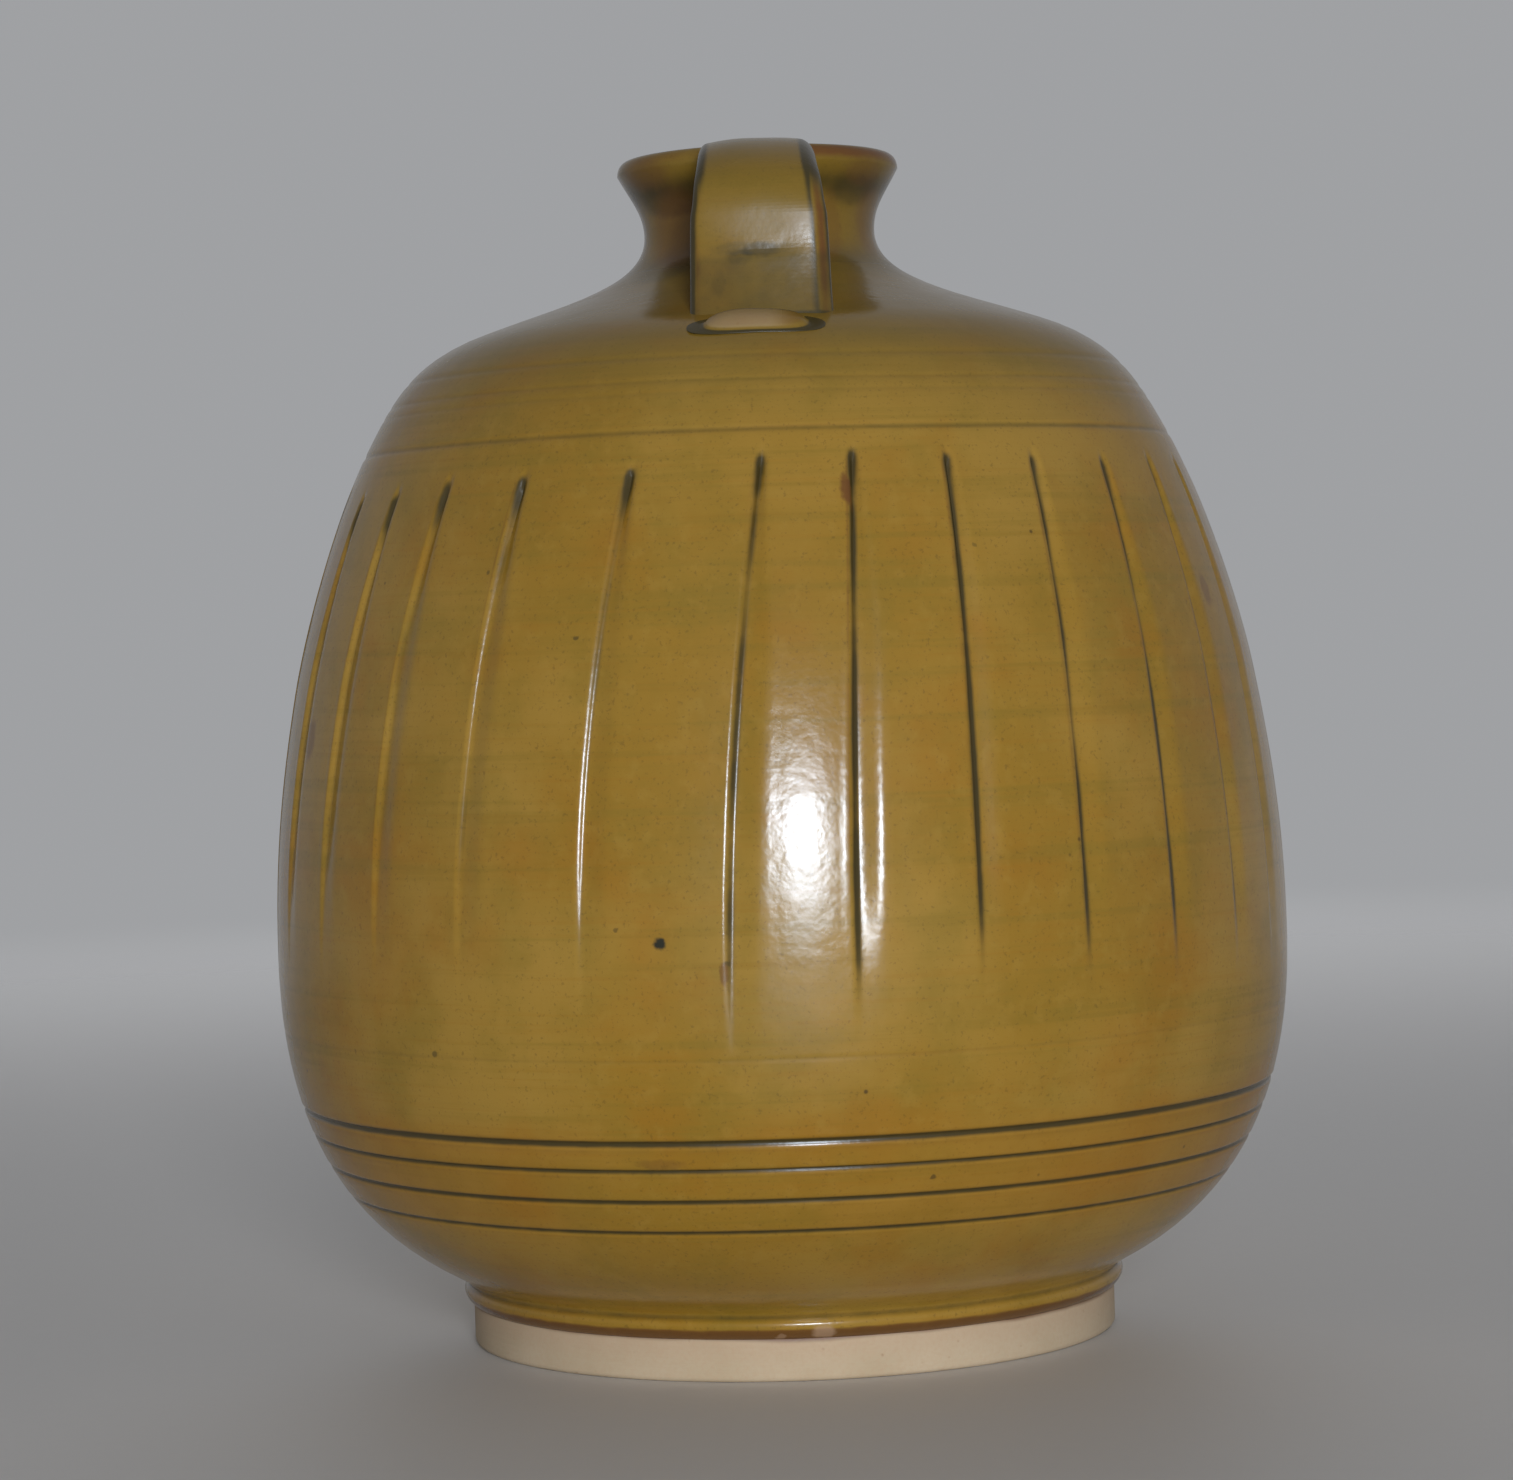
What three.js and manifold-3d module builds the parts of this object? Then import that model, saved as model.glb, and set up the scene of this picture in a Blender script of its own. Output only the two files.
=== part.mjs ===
// Two-handled stoneware bottle vase: a squat fluted belly with an angular shoulder, a short
// waisted neck with a flared lip, and two strap handles from the lip to the shoulder.
// Millimetres, +Z up. The origin is the centre of the foot's underside, and the front handle is
// on the -Y side.

import * as THREE from "three";
import { mergeVertices } from "three/addons/utils/BufferGeometryUtils.js";
import Module from "manifold-3d";

const wasm = await Module();
wasm.setup();

// Driving dimensions of the foot ring
const footRadius = 55.7;
const footHeight = 7;
const footRingWidth = 9.2;
const footEdgeBevel = 0.8;
const footInnerTaper = 1.2;

// Driving dimensions of the body
const jointClearance = 0.3;
const wallThickness = 5.6;
const floorThickness = 7;
const baseBossDepth = 1.5;
const glazeRollHeight = 3.2;
const glazeRollBulge = 0.9;
const glazeGrooveHeight = 1.7;
const bellyCornerRadius = 57.3;
const bellyRadius = 87.5;
const bellyRise = 55.1;
const upperBellyRadius = 82.9;
const upperBellyRise = 46;
const shoulderLineRadius = 69.6;
const shoulderLineRise = 40.4;
const neckRootRadius = 49.9;
const neckRootRise = 19.9;

// Driving dimensions of the neck and lip
const neckSeatRise = 10.2;
const neckWaistRadius = 19.95;
const neckWaistRise = 6.9;
const boreRadius = 15.6;
const spigotLength = 5;
const spigotWall = 2.9;
const lipRadius = 24.3;
const lipEdgeRise = 10.8;
const rimRise = 2.4;
const rimThickness = 3.9;
const rimCrown = 0.8;
const boreFlareRise = 3;

// The incised lines below the flutes, from the lowest up, and the one at the shoulder
const lowerLineHeights = [27.3, 32.6, 37.8, 42.3];
const lineWidth = 1.5;
const lineDepth = 0.6;

// Driving dimensions of the hand-cut flutes. Azimuths are degrees from the front handle towards
// +X at mid height: the ones cut on the front, then an even run round the back.
const frontFluteAzimuths = [
  -71, -59.4, -48.4, -35.3, -20.5, -4.4, 8.2, 21.2, 33.8, 46.4, 58.6, 69.5,
];
const backFluteCount = 16;
const fluteTopMargin = 3;
const fluteFullRise = 17;
const fluteBottomDrop = 10;
const fluteStopLength = 2.4;
const fluteWallWidth = 1.8;
const fluteFacetWidth = 4.2;
const fluteDepth = 1.1;
const fluteTopTurn = 2.6;
const fluteFootTurn = -0.5;

// Driving dimensions of the strap handles
const handleReach = 49;
const handleTopRise = 0.6;
const handleKneeReach = 23.5;
const handleKneeDrop = 15;
const handleFootFlare = 1.9;
const handleThickness = 5.6;
const handleTopWidth = 19;
const handleKneeWidth = 22.2;
const handleFootWidth = 23.6;
const handleFaceBevel = 2;
const handleBackBevel = 1.4;
const handleLipOverlap = 0.9;

// Driving dimensions of the roll of clay luted across each handle's foot
const toeSpacing = 1.5;
const toeLength = 4.9;
const toeWidth = 24.4;
const toeHeight = 1.5;
const toeEndTaper = 0.8;
const toeEdgeFall = 0.85;

// How finely the round pieces are cut into facets
const columns = 72;
const neckColumns = 48;
const bodyRowsPerCurve = 4;
const cavityRowsPerCurve = 3;
const neckRowsPerCurve = 6;
const seatRowsPerCurve = 8;
const finePointsPerCurve = 64;
const rimCrownSteps = 6;
const rimFlareSteps = 4;

const fullTurn = 360;
const radians = (2 * Math.PI) / fullTurn;
const mergeDistance = 1e-5;

// Heights above the table, each stacked on the one below it
const bellyCornerHeight = footHeight + glazeRollHeight + glazeGrooveHeight;
const bellyHeight = bellyCornerHeight + bellyRise;
const upperBellyHeight = bellyHeight + upperBellyRise;
const shoulderLineHeight = upperBellyHeight + shoulderLineRise;
const neckRootHeight = shoulderLineHeight + neckRootRise;
const neckSeatHeight = neckRootHeight + neckSeatRise;
const neckWaistHeight = neckSeatHeight + neckWaistRise;
const boreFlareHeight = neckWaistHeight + boreFlareRise;
const lipEdgeHeight = neckWaistHeight + lipEdgeRise;
const rimHeight = lipEdgeHeight + rimRise;
const handleTopHeight = rimHeight + handleTopRise;
const fluteTopHeight = shoulderLineHeight - fluteTopMargin;
const fluteFullHeight = bellyHeight + fluteFullRise;
const fluteBottomHeight = bellyHeight - fluteBottomDrop;

// The outline's stations from the belly's corner to the lip: where the wall is, how it leans in
// degrees from level, and how far its curve runs straight below and above each station, as shares
// of the distance to the next one.
const stations = [
  { radius: bellyCornerRadius, height: bellyCornerHeight, lean: 24.3, below: 0, above: 0.3 },
  { radius: bellyRadius, height: bellyHeight, lean: 90, below: 0.5, above: 0.39 },
  { radius: upperBellyRadius, height: upperBellyHeight, lean: 100.5, below: 0.33, above: 0.275 },
  { radius: shoulderLineRadius, height: shoulderLineHeight, lean: 117.5, below: 0.275, above: 0.39 },
  { radius: neckRootRadius, height: neckRootHeight, lean: 160, below: 0.42, above: 0.46 },
  { radius: neckWaistRadius, height: neckWaistHeight, lean: 90, below: 0.26, above: 0.36 },
  { radius: lipRadius, height: lipEdgeHeight, lean: 62, below: 0.4, above: 0 },
];

function stationPoint(station, run) {
  const lean = station.lean * radians;
  return new THREE.Vector2(
    station.radius + run * Math.cos(lean),
    station.height + run * Math.sin(lean),
  );
}

const outlineCurves = stations.slice(1).map((upper, index) => {
  const lower = stations[index];
  const distance = Math.hypot(upper.radius - lower.radius, upper.height - lower.height);
  return new THREE.CubicBezierCurve(
    stationPoint(lower, 0),
    stationPoint(lower, lower.above * distance),
    stationPoint(upper, -upper.below * distance),
    stationPoint(upper, 0),
  );
});

// The outline's radius at a height, between the belly's corner and the lip
const finePoints = outlineCurves.flatMap((curve) => curve.getPoints(finePointsPerCurve));

function outlineRadius(height) {
  const above = finePoints.findIndex((point) => point.y >= height);
  if (above <= 0) {
    return finePoints.at(above).x;
  }
  const low = finePoints[above - 1];
  const high = finePoints[above];
  const share = (height - low.y) / (high.y - low.y);
  return THREE.MathUtils.lerp(low.x, high.x, share);
}

// The shoulder's height at a radius, above the incised line there
function shoulderHeight(radius) {
  const shoulder = finePoints.filter((point) => point.y >= shoulderLineHeight);
  const inside = shoulder.findIndex((point) => point.x <= radius);
  const outer = shoulder[inside - 1];
  const inner = shoulder[inside];
  const share = (outer.x - radius) / (outer.x - inner.x);
  return THREE.MathUtils.lerp(outer.y, inner.y, share);
}

// Points along the outline between two heights, moved square to the wall by a distance
function outlinePoints(lowHeight, highHeight, stepsPerCurve, distance) {
  const points = [];
  for (const curve of outlineCurves) {
    for (let step = 0; step < stepsPerCurve; step += 1) {
      const share = step / stepsPerCurve;
      const tangent = curve.getTangent(share);
      const point = curve.getPoint(share);
      if (point.y > lowHeight && point.y < highHeight) {
        const normal = new THREE.Vector2(tangent.y, -tangent.x);
        points.push(point.addScaledVector(normal, distance));
      }
    }
  }
  return points;
}

// How far round from its first point each point of a ring lies, as shares of a turn
function ringShares(ring) {
  const turnOf = (point) => Math.atan2(point.y, point.x);
  const start = turnOf(ring[0]);
  const shares = ring.map((point) => ((turnOf(point) - start) / (2 * Math.PI) + 1) % 1);
  return [...shares, 1];
}

// Triangles between two rings round +Z that may differ in count, lower ring first
function bridge(lower, upper, lowerStart, upperStart) {
  const lowerShares = ringShares(lower);
  const upperShares = ringShares(upper);
  const indices = [];
  let low = 0;
  let high = 0;
  while (low < lower.length || high < upper.length) {
    const a = lowerStart + (low % lower.length);
    const b = upperStart + (high % upper.length);
    const lowerNext = low < lower.length ? lowerShares[low + 1] : Infinity;
    const upperNext = high < upper.length ? upperShares[high + 1] : Infinity;
    if (lowerNext <= upperNext) {
      indices.push(a, lowerStart + ((low + 1) % lower.length), b);
      low += 1;
    } else {
      indices.push(a, upperStart + ((high + 1) % upper.length), b);
      high += 1;
    }
  }
  return indices;
}

// A closed solid through rings of points, each ring turning the same way
function loft(rings) {
  const vertices = rings.flat();
  const indices = [];
  let start = 0;
  for (let ring = 0; ring < rings.length - 1; ring += 1) {
    const count = rings[ring].length;
    if (rings[ring + 1].length === count) {
      for (let index = 0; index < count; index += 1) {
        const a = start + index;
        const b = start + ((index + 1) % count);
        indices.push(a, b, b + count, a, b + count, a + count);
      }
    } else {
      indices.push(...bridge(rings[ring], rings[ring + 1], start, start + count));
    }
    start += count;
  }
  const ends = [
    { ring: rings[0], first: 0, far: false },
    { ring: rings.at(-1), first: start, far: true },
  ];
  for (const { ring, first, far } of ends) {
    const centre = new THREE.Vector3();
    ring.forEach((point) => centre.addScaledVector(point, 1 / ring.length));
    const hub = vertices.push(centre) - 1;
    for (let index = 0; index < ring.length; index += 1) {
      const a = first + index;
      const b = first + ((index + 1) % ring.length);
      indices.push(...(far ? [a, b, hub] : [b, a, hub]));
    }
  }
  const geometry = new THREE.BufferGeometry().setFromPoints(vertices);
  geometry.setIndex(indices);
  return geometry;
}

// A solid of revolution about +Z from points of radius and height
function revolve(points, segments) {
  const profile = points.map((point) => new THREE.Vector2(point.x, point.y));
  const geometry = new THREE.LatheGeometry(profile, segments);
  geometry.rotateX(Math.PI / 2);
  return geometry;
}

function toSolid(geometry) {
  const bare = geometry.clone();
  bare.deleteAttribute("normal");
  bare.deleteAttribute("uv");
  const merged = mergeVertices(bare, mergeDistance);
  const mesh = new wasm.Mesh({
    numProp: 3,
    vertProperties: Float32Array.from(merged.attributes.position.array),
    triVerts: Uint32Array.from(merged.index.array),
  });
  return new wasm.Manifold(mesh);
}

function toGeometry(solid) {
  const mesh = solid.getMesh();
  const geometry = new THREE.BufferGeometry();
  geometry.setAttribute("position", new THREE.BufferAttribute(mesh.vertProperties, 3));
  geometry.setIndex(new THREE.BufferAttribute(mesh.triVerts, 1));
  return geometry;
}

const vector = (x, y) => new THREE.Vector2(x, y);
const footInnerRadius = footRadius - footRingWidth;
const floorTop = footHeight - baseBossDepth + floorThickness;
const spigotRadius = boreRadius + spigotWall;
const openingRadius = spigotRadius + jointClearance;

// Foot ring: bare clay, flat underneath, with the recess that turning leaves inside it
function footRing() {
  return revolve(
    [
      vector(footInnerRadius + footInnerTaper, footEdgeBevel),
      vector(footInnerRadius + footInnerTaper + footEdgeBevel, 0),
      vector(footRadius - footEdgeBevel, 0),
      vector(footRadius, footEdgeBevel),
      vector(footRadius, footHeight),
      vector(footInnerRadius, footHeight),
      vector(footInnerRadius + footInnerTaper, footEdgeBevel),
    ],
    columns,
  );
}

// Flutes: a steep wall on the left, a shallow facet to its right that runs out in a soft ridge,
// stopped square at the top and run out below
const backArc = fullTurn - frontFluteAzimuths.at(-1) + frontFluteAzimuths[0];
const backStep = backArc / (backFluteCount + 1);
const backFluteAzimuths = Array.from(
  { length: backFluteCount },
  (_, index) => frontFluteAzimuths.at(-1) + backStep * (index + 1),
);
const fluteAzimuths = [...frontFluteAzimuths, ...backFluteAzimuths];
const flutePitch = (2 * Math.PI * bellyRadius) / fluteAzimuths.length;
const panelWidth = flutePitch - fluteWallWidth - fluteFacetWidth;

function fluteStrength(height) {
  const stop = THREE.MathUtils.smoothstep(fluteTopHeight - height, 0, fluteStopLength);
  const fade = THREE.MathUtils.smoothstep(height, fluteBottomHeight, fluteFullHeight);
  return stop * fade;
}

// Each flute has four columns: its left lip, its bottom, its facet's far edge and the middle of
// the plain panel that follows
const fluteBottomOffset = fluteWallWidth / 2;
const fluteRidgeOffset = fluteBottomOffset + fluteFacetWidth;
const fluteColumns = [
  { offset: -fluteWallWidth / 2, depth: 0 },
  { offset: fluteBottomOffset, depth: fluteDepth },
  { offset: fluteRidgeOffset, depth: 0 },
  { offset: fluteRidgeOffset + panelWidth / 2, depth: 0 },
];

// How far round a flute has turned at a height, in degrees from where it lies at mid height
function fluteTurn(height) {
  const middle = (fluteBottomHeight + fluteTopHeight) / 2;
  const share = (height - middle) / (fluteTopHeight - middle);
  const steady = (fluteTopTurn - fluteFootTurn) / 2;
  const curl = (fluteTopTurn + fluteFootTurn) / 2;
  return share * steady + share * share * curl;
}

// The outside's ring at a height: four columns a flute where they run, evenly spaced elsewhere
function bodyRing(height, radius) {
  if (height < fluteBottomHeight || height > fluteTopHeight) {
    return Array.from({ length: columns }, (_, index) => {
      const turn = frontFluteAzimuths[0] * radians + (2 * Math.PI * index) / columns;
      return new THREE.Vector3(radius * Math.sin(turn), -radius * Math.cos(turn), height);
    });
  }
  return fluteAzimuths.flatMap((azimuth) =>
    fluteColumns.map((column) => {
      const turn = (azimuth + fluteTurn(height)) * radians + column.offset / bellyRadius;
      const cut = radius - column.depth * fluteStrength(height);
      return new THREE.Vector3(cut * Math.sin(turn), -cut * Math.cos(turn), height);
    }),
  );
}

// Heights of the body's rows: along the outline, at the flutes' ends and at each incised line
function bodyRowHeights() {
  const lines = [...lowerLineHeights, shoulderLineHeight];
  const lineEdges = lines.flatMap((line) => [line - lineWidth / 2, line, line + lineWidth / 2]);
  const fluteEnds = [fluteTopHeight, fluteTopHeight - fluteStopLength, fluteBottomHeight];
  const fixed = [...lineEdges, ...fluteEnds, neckSeatHeight];
  const plain = outlinePoints(bellyCornerHeight, neckSeatHeight, bodyRowsPerCurve, 0)
    .map((point) => point.y)
    .filter((height) => fixed.every((other) => Math.abs(other - height) > lineWidth));
  return [...fixed, ...plain].sort((a, b) => a - b);
}

function lineCut(height) {
  const lines = [...lowerLineHeights, shoulderLineHeight];
  return lines.includes(height) ? lineDepth : 0;
}

// Glaze roll: the bead where the glaze stopped running, just above the bare foot ring
function glazeRollRings() {
  const rollRadius = (bellyCornerRadius + footRadius) / 2;
  const rollSteps = 5;
  return Array.from({ length: rollSteps }, (_, step) => {
    const share = step / (rollSteps - 1);
    const bulge = glazeRollBulge * Math.sin(Math.PI * share);
    const lean = (rollRadius - footRadius) * share;
    return bodyRing(footHeight + glazeRollHeight * share, footRadius + lean + bulge);
  });
}

// The hollow inside: a flat floor, a wall of even thickness and the opening for the neck
function cavity() {
  const wall = outlinePoints(footHeight, neckSeatHeight, cavityRowsPerCurve, -wallThickness)
    .filter((point) => point.y > floorTop && point.x > openingRadius);
  const [outer, inner] = wall.slice(-2);
  const rise = (inner.y - outer.y) / (outer.x - inner.x);
  const top = neckSeatHeight + wallThickness;
  return revolve(
    [
      vector(0, floorTop),
      vector(wall[0].x - wallThickness, floorTop),
      ...wall,
      vector(openingRadius, inner.y + (inner.x - openingRadius) * rise),
      vector(openingRadius, top),
      vector(0, top),
    ],
    neckColumns,
  );
}

function vaseBody() {
  const bossRadius = footInnerRadius - jointClearance;
  const rings = [
    bodyRing(footHeight - baseBossDepth, bossRadius),
    bodyRing(footHeight, bossRadius),
    ...glazeRollRings(),
    bodyRing(bellyCornerHeight, bellyCornerRadius),
    ...bodyRowHeights().map((height) => bodyRing(height, outlineRadius(height) - lineCut(height))),
  ];
  const outside = toSolid(loft(rings));
  return toGeometry(outside.subtract(toSolid(cavity())));
}

// The rim's rounded crown from its outer edge to its inner one, and the flare down to the bore
function rimPoints() {
  const outer = vector(lipRadius, lipEdgeHeight);
  const inner = vector(lipRadius - rimThickness, lipEdgeHeight);
  const crown = new THREE.CubicBezierCurve(
    outer,
    vector(outer.x, rimHeight + rimCrown),
    vector(inner.x, rimHeight + rimCrown),
    inner,
  );
  const flare = new THREE.QuadraticBezierCurve(
    inner,
    vector(boreRadius, boreFlareHeight),
    vector(boreRadius, neckWaistHeight),
  );
  return [...crown.getPoints(rimCrownSteps), ...flare.getPoints(rimFlareSteps).slice(1)];
}

// Neck and lip: waisted outside, with a straight bore and a spigot down into the shoulder
function neckAndLip() {
  const spigotBottom = neckSeatHeight - spigotLength;
  const start = vector(boreRadius, spigotBottom);
  return revolve(
    [
      start,
      vector(spigotRadius, spigotBottom),
      vector(spigotRadius, neckSeatHeight),
      vector(outlineRadius(neckSeatHeight), neckSeatHeight),
      ...outlinePoints(neckSeatHeight + jointClearance, lipEdgeHeight, neckRowsPerCurve, 0),
      ...rimPoints(),
      start,
    ],
    neckColumns,
  );
}

// Everything the handles meet, grown by the joint's clearance: shoulder, neck and lip in one
function seatCutter() {
  const grown = outlinePoints(shoulderLineHeight, lipEdgeHeight, seatRowsPerCurve, jointClearance);
  const reach = lipRadius + jointClearance;
  const top = rimHeight + jointClearance;
  const band = (lipEdgeHeight + top) / 2;
  return toSolid(
    revolve(
      [
        vector(0, shoulderLineHeight),
        ...grown,
        vector(reach, lipEdgeHeight),
        vector(reach, band),
        vector(reach - (top - band), top),
        vector(0, top),
      ],
      columns * 2,
    ),
  );
}

// Strap handle: out level from the lip, over an elliptical knee and down to the shoulder, where
// its foot flares outwards
function handlePath() {
  const kneeStart = handleReach - handleKneeReach;
  const kneeHeight = handleTopHeight - handleKneeDrop;
  const start = lipRadius - handleLipOverlap;
  const points = [{ radius: start, height: handleTopHeight, turn: 0, width: handleTopWidth }];
  const kneeSteps = 9;
  for (let step = 0; step <= kneeSteps; step += 1) {
    const angle = (Math.PI / 2) * (step / kneeSteps);
    const [out, up] = [Math.sin(angle), Math.cos(angle)];
    points.push({
      radius: kneeStart + handleKneeReach * out,
      height: kneeHeight + handleKneeDrop * up,
      turn: Math.atan2(handleKneeDrop * out, handleKneeReach * up),
      width: THREE.MathUtils.lerp(handleKneeWidth, handleTopWidth, up),
    });
  }
  const standHeight = shoulderHeight(handleReach + handleFootFlare);
  const drop = kneeHeight - standHeight;
  for (const share of [0.35, 0.7, 1, 1.35]) {
    const slope = (2 * handleFootFlare * share) / drop;
    points.push({
      radius: handleReach + handleFootFlare * share ** 2,
      height: kneeHeight - drop * share,
      turn: Math.PI / 2 - Math.atan(slope),
      width: THREE.MathUtils.lerp(handleKneeWidth, handleFootWidth, Math.min(share, 1)),
    });
  }
  return points;
}

function strapHandle() {
  const path = handlePath();
  const rings = path.map((point) => {
    const half = point.width / 2;
    const section = [
      [handleFaceBevel - half, 0],
      [-half, handleFaceBevel],
      [-half, handleThickness - handleBackBevel],
      [handleBackBevel - half, handleThickness],
      [half - handleBackBevel, handleThickness],
      [half, handleThickness - handleBackBevel],
      [half, handleFaceBevel],
      [half - handleFaceBevel, 0],
    ];
    return section.map(([across, inward]) => {
      const radius = point.radius - inward * Math.sin(point.turn);
      const height = point.height - inward * Math.cos(point.turn);
      return new THREE.Vector3(across, -radius, height);
    });
  });
  return toGeometry(toSolid(loft(rings)).subtract(seatCutter()));
}

// Handle toe: a flattened roll of clay on the shoulder, laid across the front of a handle's foot
function handleToe() {
  const back = handleReach + handleFootFlare + toeSpacing;
  const acrossSteps = 10;
  const crownSteps = 5;
  const rings = [];
  for (let step = 0; step <= acrossSteps; step += 1) {
    const side = -Math.cos(Math.PI * (step / acrossSteps));
    const across = (toeWidth / 2) * side;
    const fullness = Math.sqrt(1 - toeEndTaper * side ** 4);
    const ring = [];
    for (let crown = 0; crown <= crownSteps; crown += 1) {
      const share = crown / crownSteps;
      const radius = back + toeLength * fullness * share;
      const rise = toeHeight * fullness * Math.sqrt(1 - toeEdgeFall * (2 * share - 1) ** 4);
      const ground = shoulderHeight(Math.hypot(radius, across));
      ring.push(new THREE.Vector3(across, -radius, ground + rise + jointClearance));
    }
    const buried = shoulderHeight(back + toeLength) - toeHeight * 2;
    ring.push(new THREE.Vector3(across, -back - toeLength * fullness, buried));
    ring.push(new THREE.Vector3(across, -back, buried));
    rings.push(ring);
  }
  return toGeometry(toSolid(loft(rings)).subtract(seatCutter()));
}

const glazeMaterial = new THREE.MeshStandardMaterial({ color: 0xa88a3c, roughness: 0.18 });
const clayMaterial = new THREE.MeshStandardMaterial({ color: 0xdcc4a2, roughness: 0.85 });

const vase = new THREE.Group();

function addPiece(parent, name, geometry, material) {
  const mesh = new THREE.Mesh(geometry, material);
  mesh.name = name;
  parent.add(mesh);
}

addPiece(vase, "foot_ring", footRing(), clayMaterial);
addPiece(vase, "vase_body", vaseBody(), glazeMaterial);
addPiece(vase, "neck_and_lip", neckAndLip(), glazeMaterial);

const sides = [
  { side: "front", turn: 0 },
  { side: "rear", turn: Math.PI },
];
for (const { side, turn } of sides) {
  const handle = new THREE.Group();
  handle.rotation.z = turn;
  addPiece(handle, `${side}_handle`, strapHandle(), glazeMaterial);
  addPiece(handle, `${side}_handle_toe`, handleToe(), glazeMaterial);
  vase.add(handle);
}

export default vase;
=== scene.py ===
import bisect
import math

import bmesh
import bpy
from mathutils import Matrix, Vector, noise


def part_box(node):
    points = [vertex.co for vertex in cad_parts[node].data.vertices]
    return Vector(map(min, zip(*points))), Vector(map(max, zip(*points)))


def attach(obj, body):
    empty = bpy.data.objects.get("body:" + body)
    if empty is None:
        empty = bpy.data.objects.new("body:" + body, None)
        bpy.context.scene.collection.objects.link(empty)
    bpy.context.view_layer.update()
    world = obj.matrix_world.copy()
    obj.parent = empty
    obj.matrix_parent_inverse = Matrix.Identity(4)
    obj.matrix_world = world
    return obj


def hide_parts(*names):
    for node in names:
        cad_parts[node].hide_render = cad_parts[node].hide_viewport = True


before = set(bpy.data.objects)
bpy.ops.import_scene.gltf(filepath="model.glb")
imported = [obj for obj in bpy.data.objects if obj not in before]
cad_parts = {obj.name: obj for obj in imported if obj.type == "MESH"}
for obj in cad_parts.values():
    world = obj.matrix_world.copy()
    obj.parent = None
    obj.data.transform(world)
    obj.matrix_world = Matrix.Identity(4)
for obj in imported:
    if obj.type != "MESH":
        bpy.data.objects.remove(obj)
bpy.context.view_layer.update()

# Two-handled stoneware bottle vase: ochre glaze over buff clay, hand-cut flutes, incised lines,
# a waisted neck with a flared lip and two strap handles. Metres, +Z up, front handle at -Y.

MM = 0.001
FULL_TURN = 2 * math.pi
TINY = 1e-6

# Sizes read from the frame. The belly leaves a little room in its box for the flutes' lips.
LIP_ROOM = 0.1 * MM
BASE_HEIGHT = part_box("vase_body")[0].z
SEAT_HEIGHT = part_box("vase_body")[1].z
BELLY_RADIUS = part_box("vase_body")[1].x - LIP_ROOM
FOOT_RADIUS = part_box("foot_ring")[1].x
FOOT_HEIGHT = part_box("foot_ring")[1].z
LIP_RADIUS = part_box("neck_and_lip")[1].x
RIM_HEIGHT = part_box("neck_and_lip")[1].z
SPIGOT_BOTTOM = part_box("neck_and_lip")[0].z
HANDLE_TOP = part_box("front_handle")[1].z
HANDLE_WIDTH = 2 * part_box("front_handle")[1].x
TOE_FRONT = -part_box("front_handle_toe")[0].y
TOE_BACK = -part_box("front_handle_toe")[1].y

# Sizes that the solids have inside their boxes, and where glaze and clay meet
SEAT_CLEARANCE = 0.3 * MM
WALL_START = FOOT_HEIGHT + 0.05 * MM
FOOT_TOP = FOOT_HEIGHT + 0.2 * MM
FOOT_RING_WIDTH = 9.2 * MM
FOOT_INNER_TAPER = 1.2 * MM
FOOT_EDGE = 0.9 * MM
CORNER_RADIUS = 57.3 * MM
CORNER_HEIGHT = 11.9 * MM
BELLY_HEIGHT = 67 * MM
SHOULDER_LINE_HEIGHT = 153.4 * MM
NECK_WAIST_HEIGHT = 190.4 * MM
LIP_EDGE_HEIGHT = 201.2 * MM
BORE_RADIUS = 15.6 * MM
SPIGOT_WALL = 2.9 * MM
BORE_FLARE_HEIGHT = 193.4 * MM
WALL = 5.6 * MM
FLOOR_TOP = 12.5 * MM
RIM_THICKNESS = 3.9 * MM
STRAP_REACH = 49 * MM
KNEE_REACH = 23.5 * MM
KNEE_DROP = 15 * MM
FOOT_FLARE = 1.9 * MM
STRAP_THICKNESS = 5.6 * MM
STRAP_TOP_WIDTH = 19 * MM
STRAP_KNEE_WIDTH = 22.2 * MM

# The outline's stations: radius, height, lean in degrees from level, and how far the curve runs
# straight below and above each station, as shares of the distance to the next one
STATIONS = [
    (CORNER_RADIUS, CORNER_HEIGHT, 24.3, 0.0, 0.3),
    (BELLY_RADIUS, BELLY_HEIGHT, 90.0, 0.5, 0.39),
    (82.9 * MM, 113 * MM, 100.5, 0.33, 0.275),
    (69.6 * MM, SHOULDER_LINE_HEIGHT, 117.5, 0.275, 0.39),
    (49.9 * MM, 173.3 * MM, 160.0, 0.42, 0.46),
    (19.95 * MM, NECK_WAIST_HEIGHT, 90.0, 0.26, 0.36),
    (LIP_RADIUS, LIP_EDGE_HEIGHT, 62.0, 0.4, 0.0),
]
CURVE_STEPS = 120

# Incised lines: height, half width, depth and how much glaze pools in them
INCISED_LINES = [
    (27.3 * MM, 0.42 * MM, 0.26 * MM, 0.75),
    (32.6 * MM, 0.48 * MM, 0.32 * MM, 0.85),
    (37.8 * MM, 0.44 * MM, 0.3 * MM, 0.8),
    (42.3 * MM, 0.62 * MM, 0.42 * MM, 1.0),
    (55.5 * MM, 0.45 * MM, 0.05 * MM, 0.2),
    (SHOULDER_LINE_HEIGHT, 0.6 * MM, 0.14 * MM, 0.34),
    (159.6 * MM, 0.5 * MM, 0.06 * MM, 0.16),
    (161.6 * MM, 0.5 * MM, 0.08 * MM, 0.2),
    (165.6 * MM, 0.6 * MM, 0.08 * MM, 0.2),
]

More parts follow.
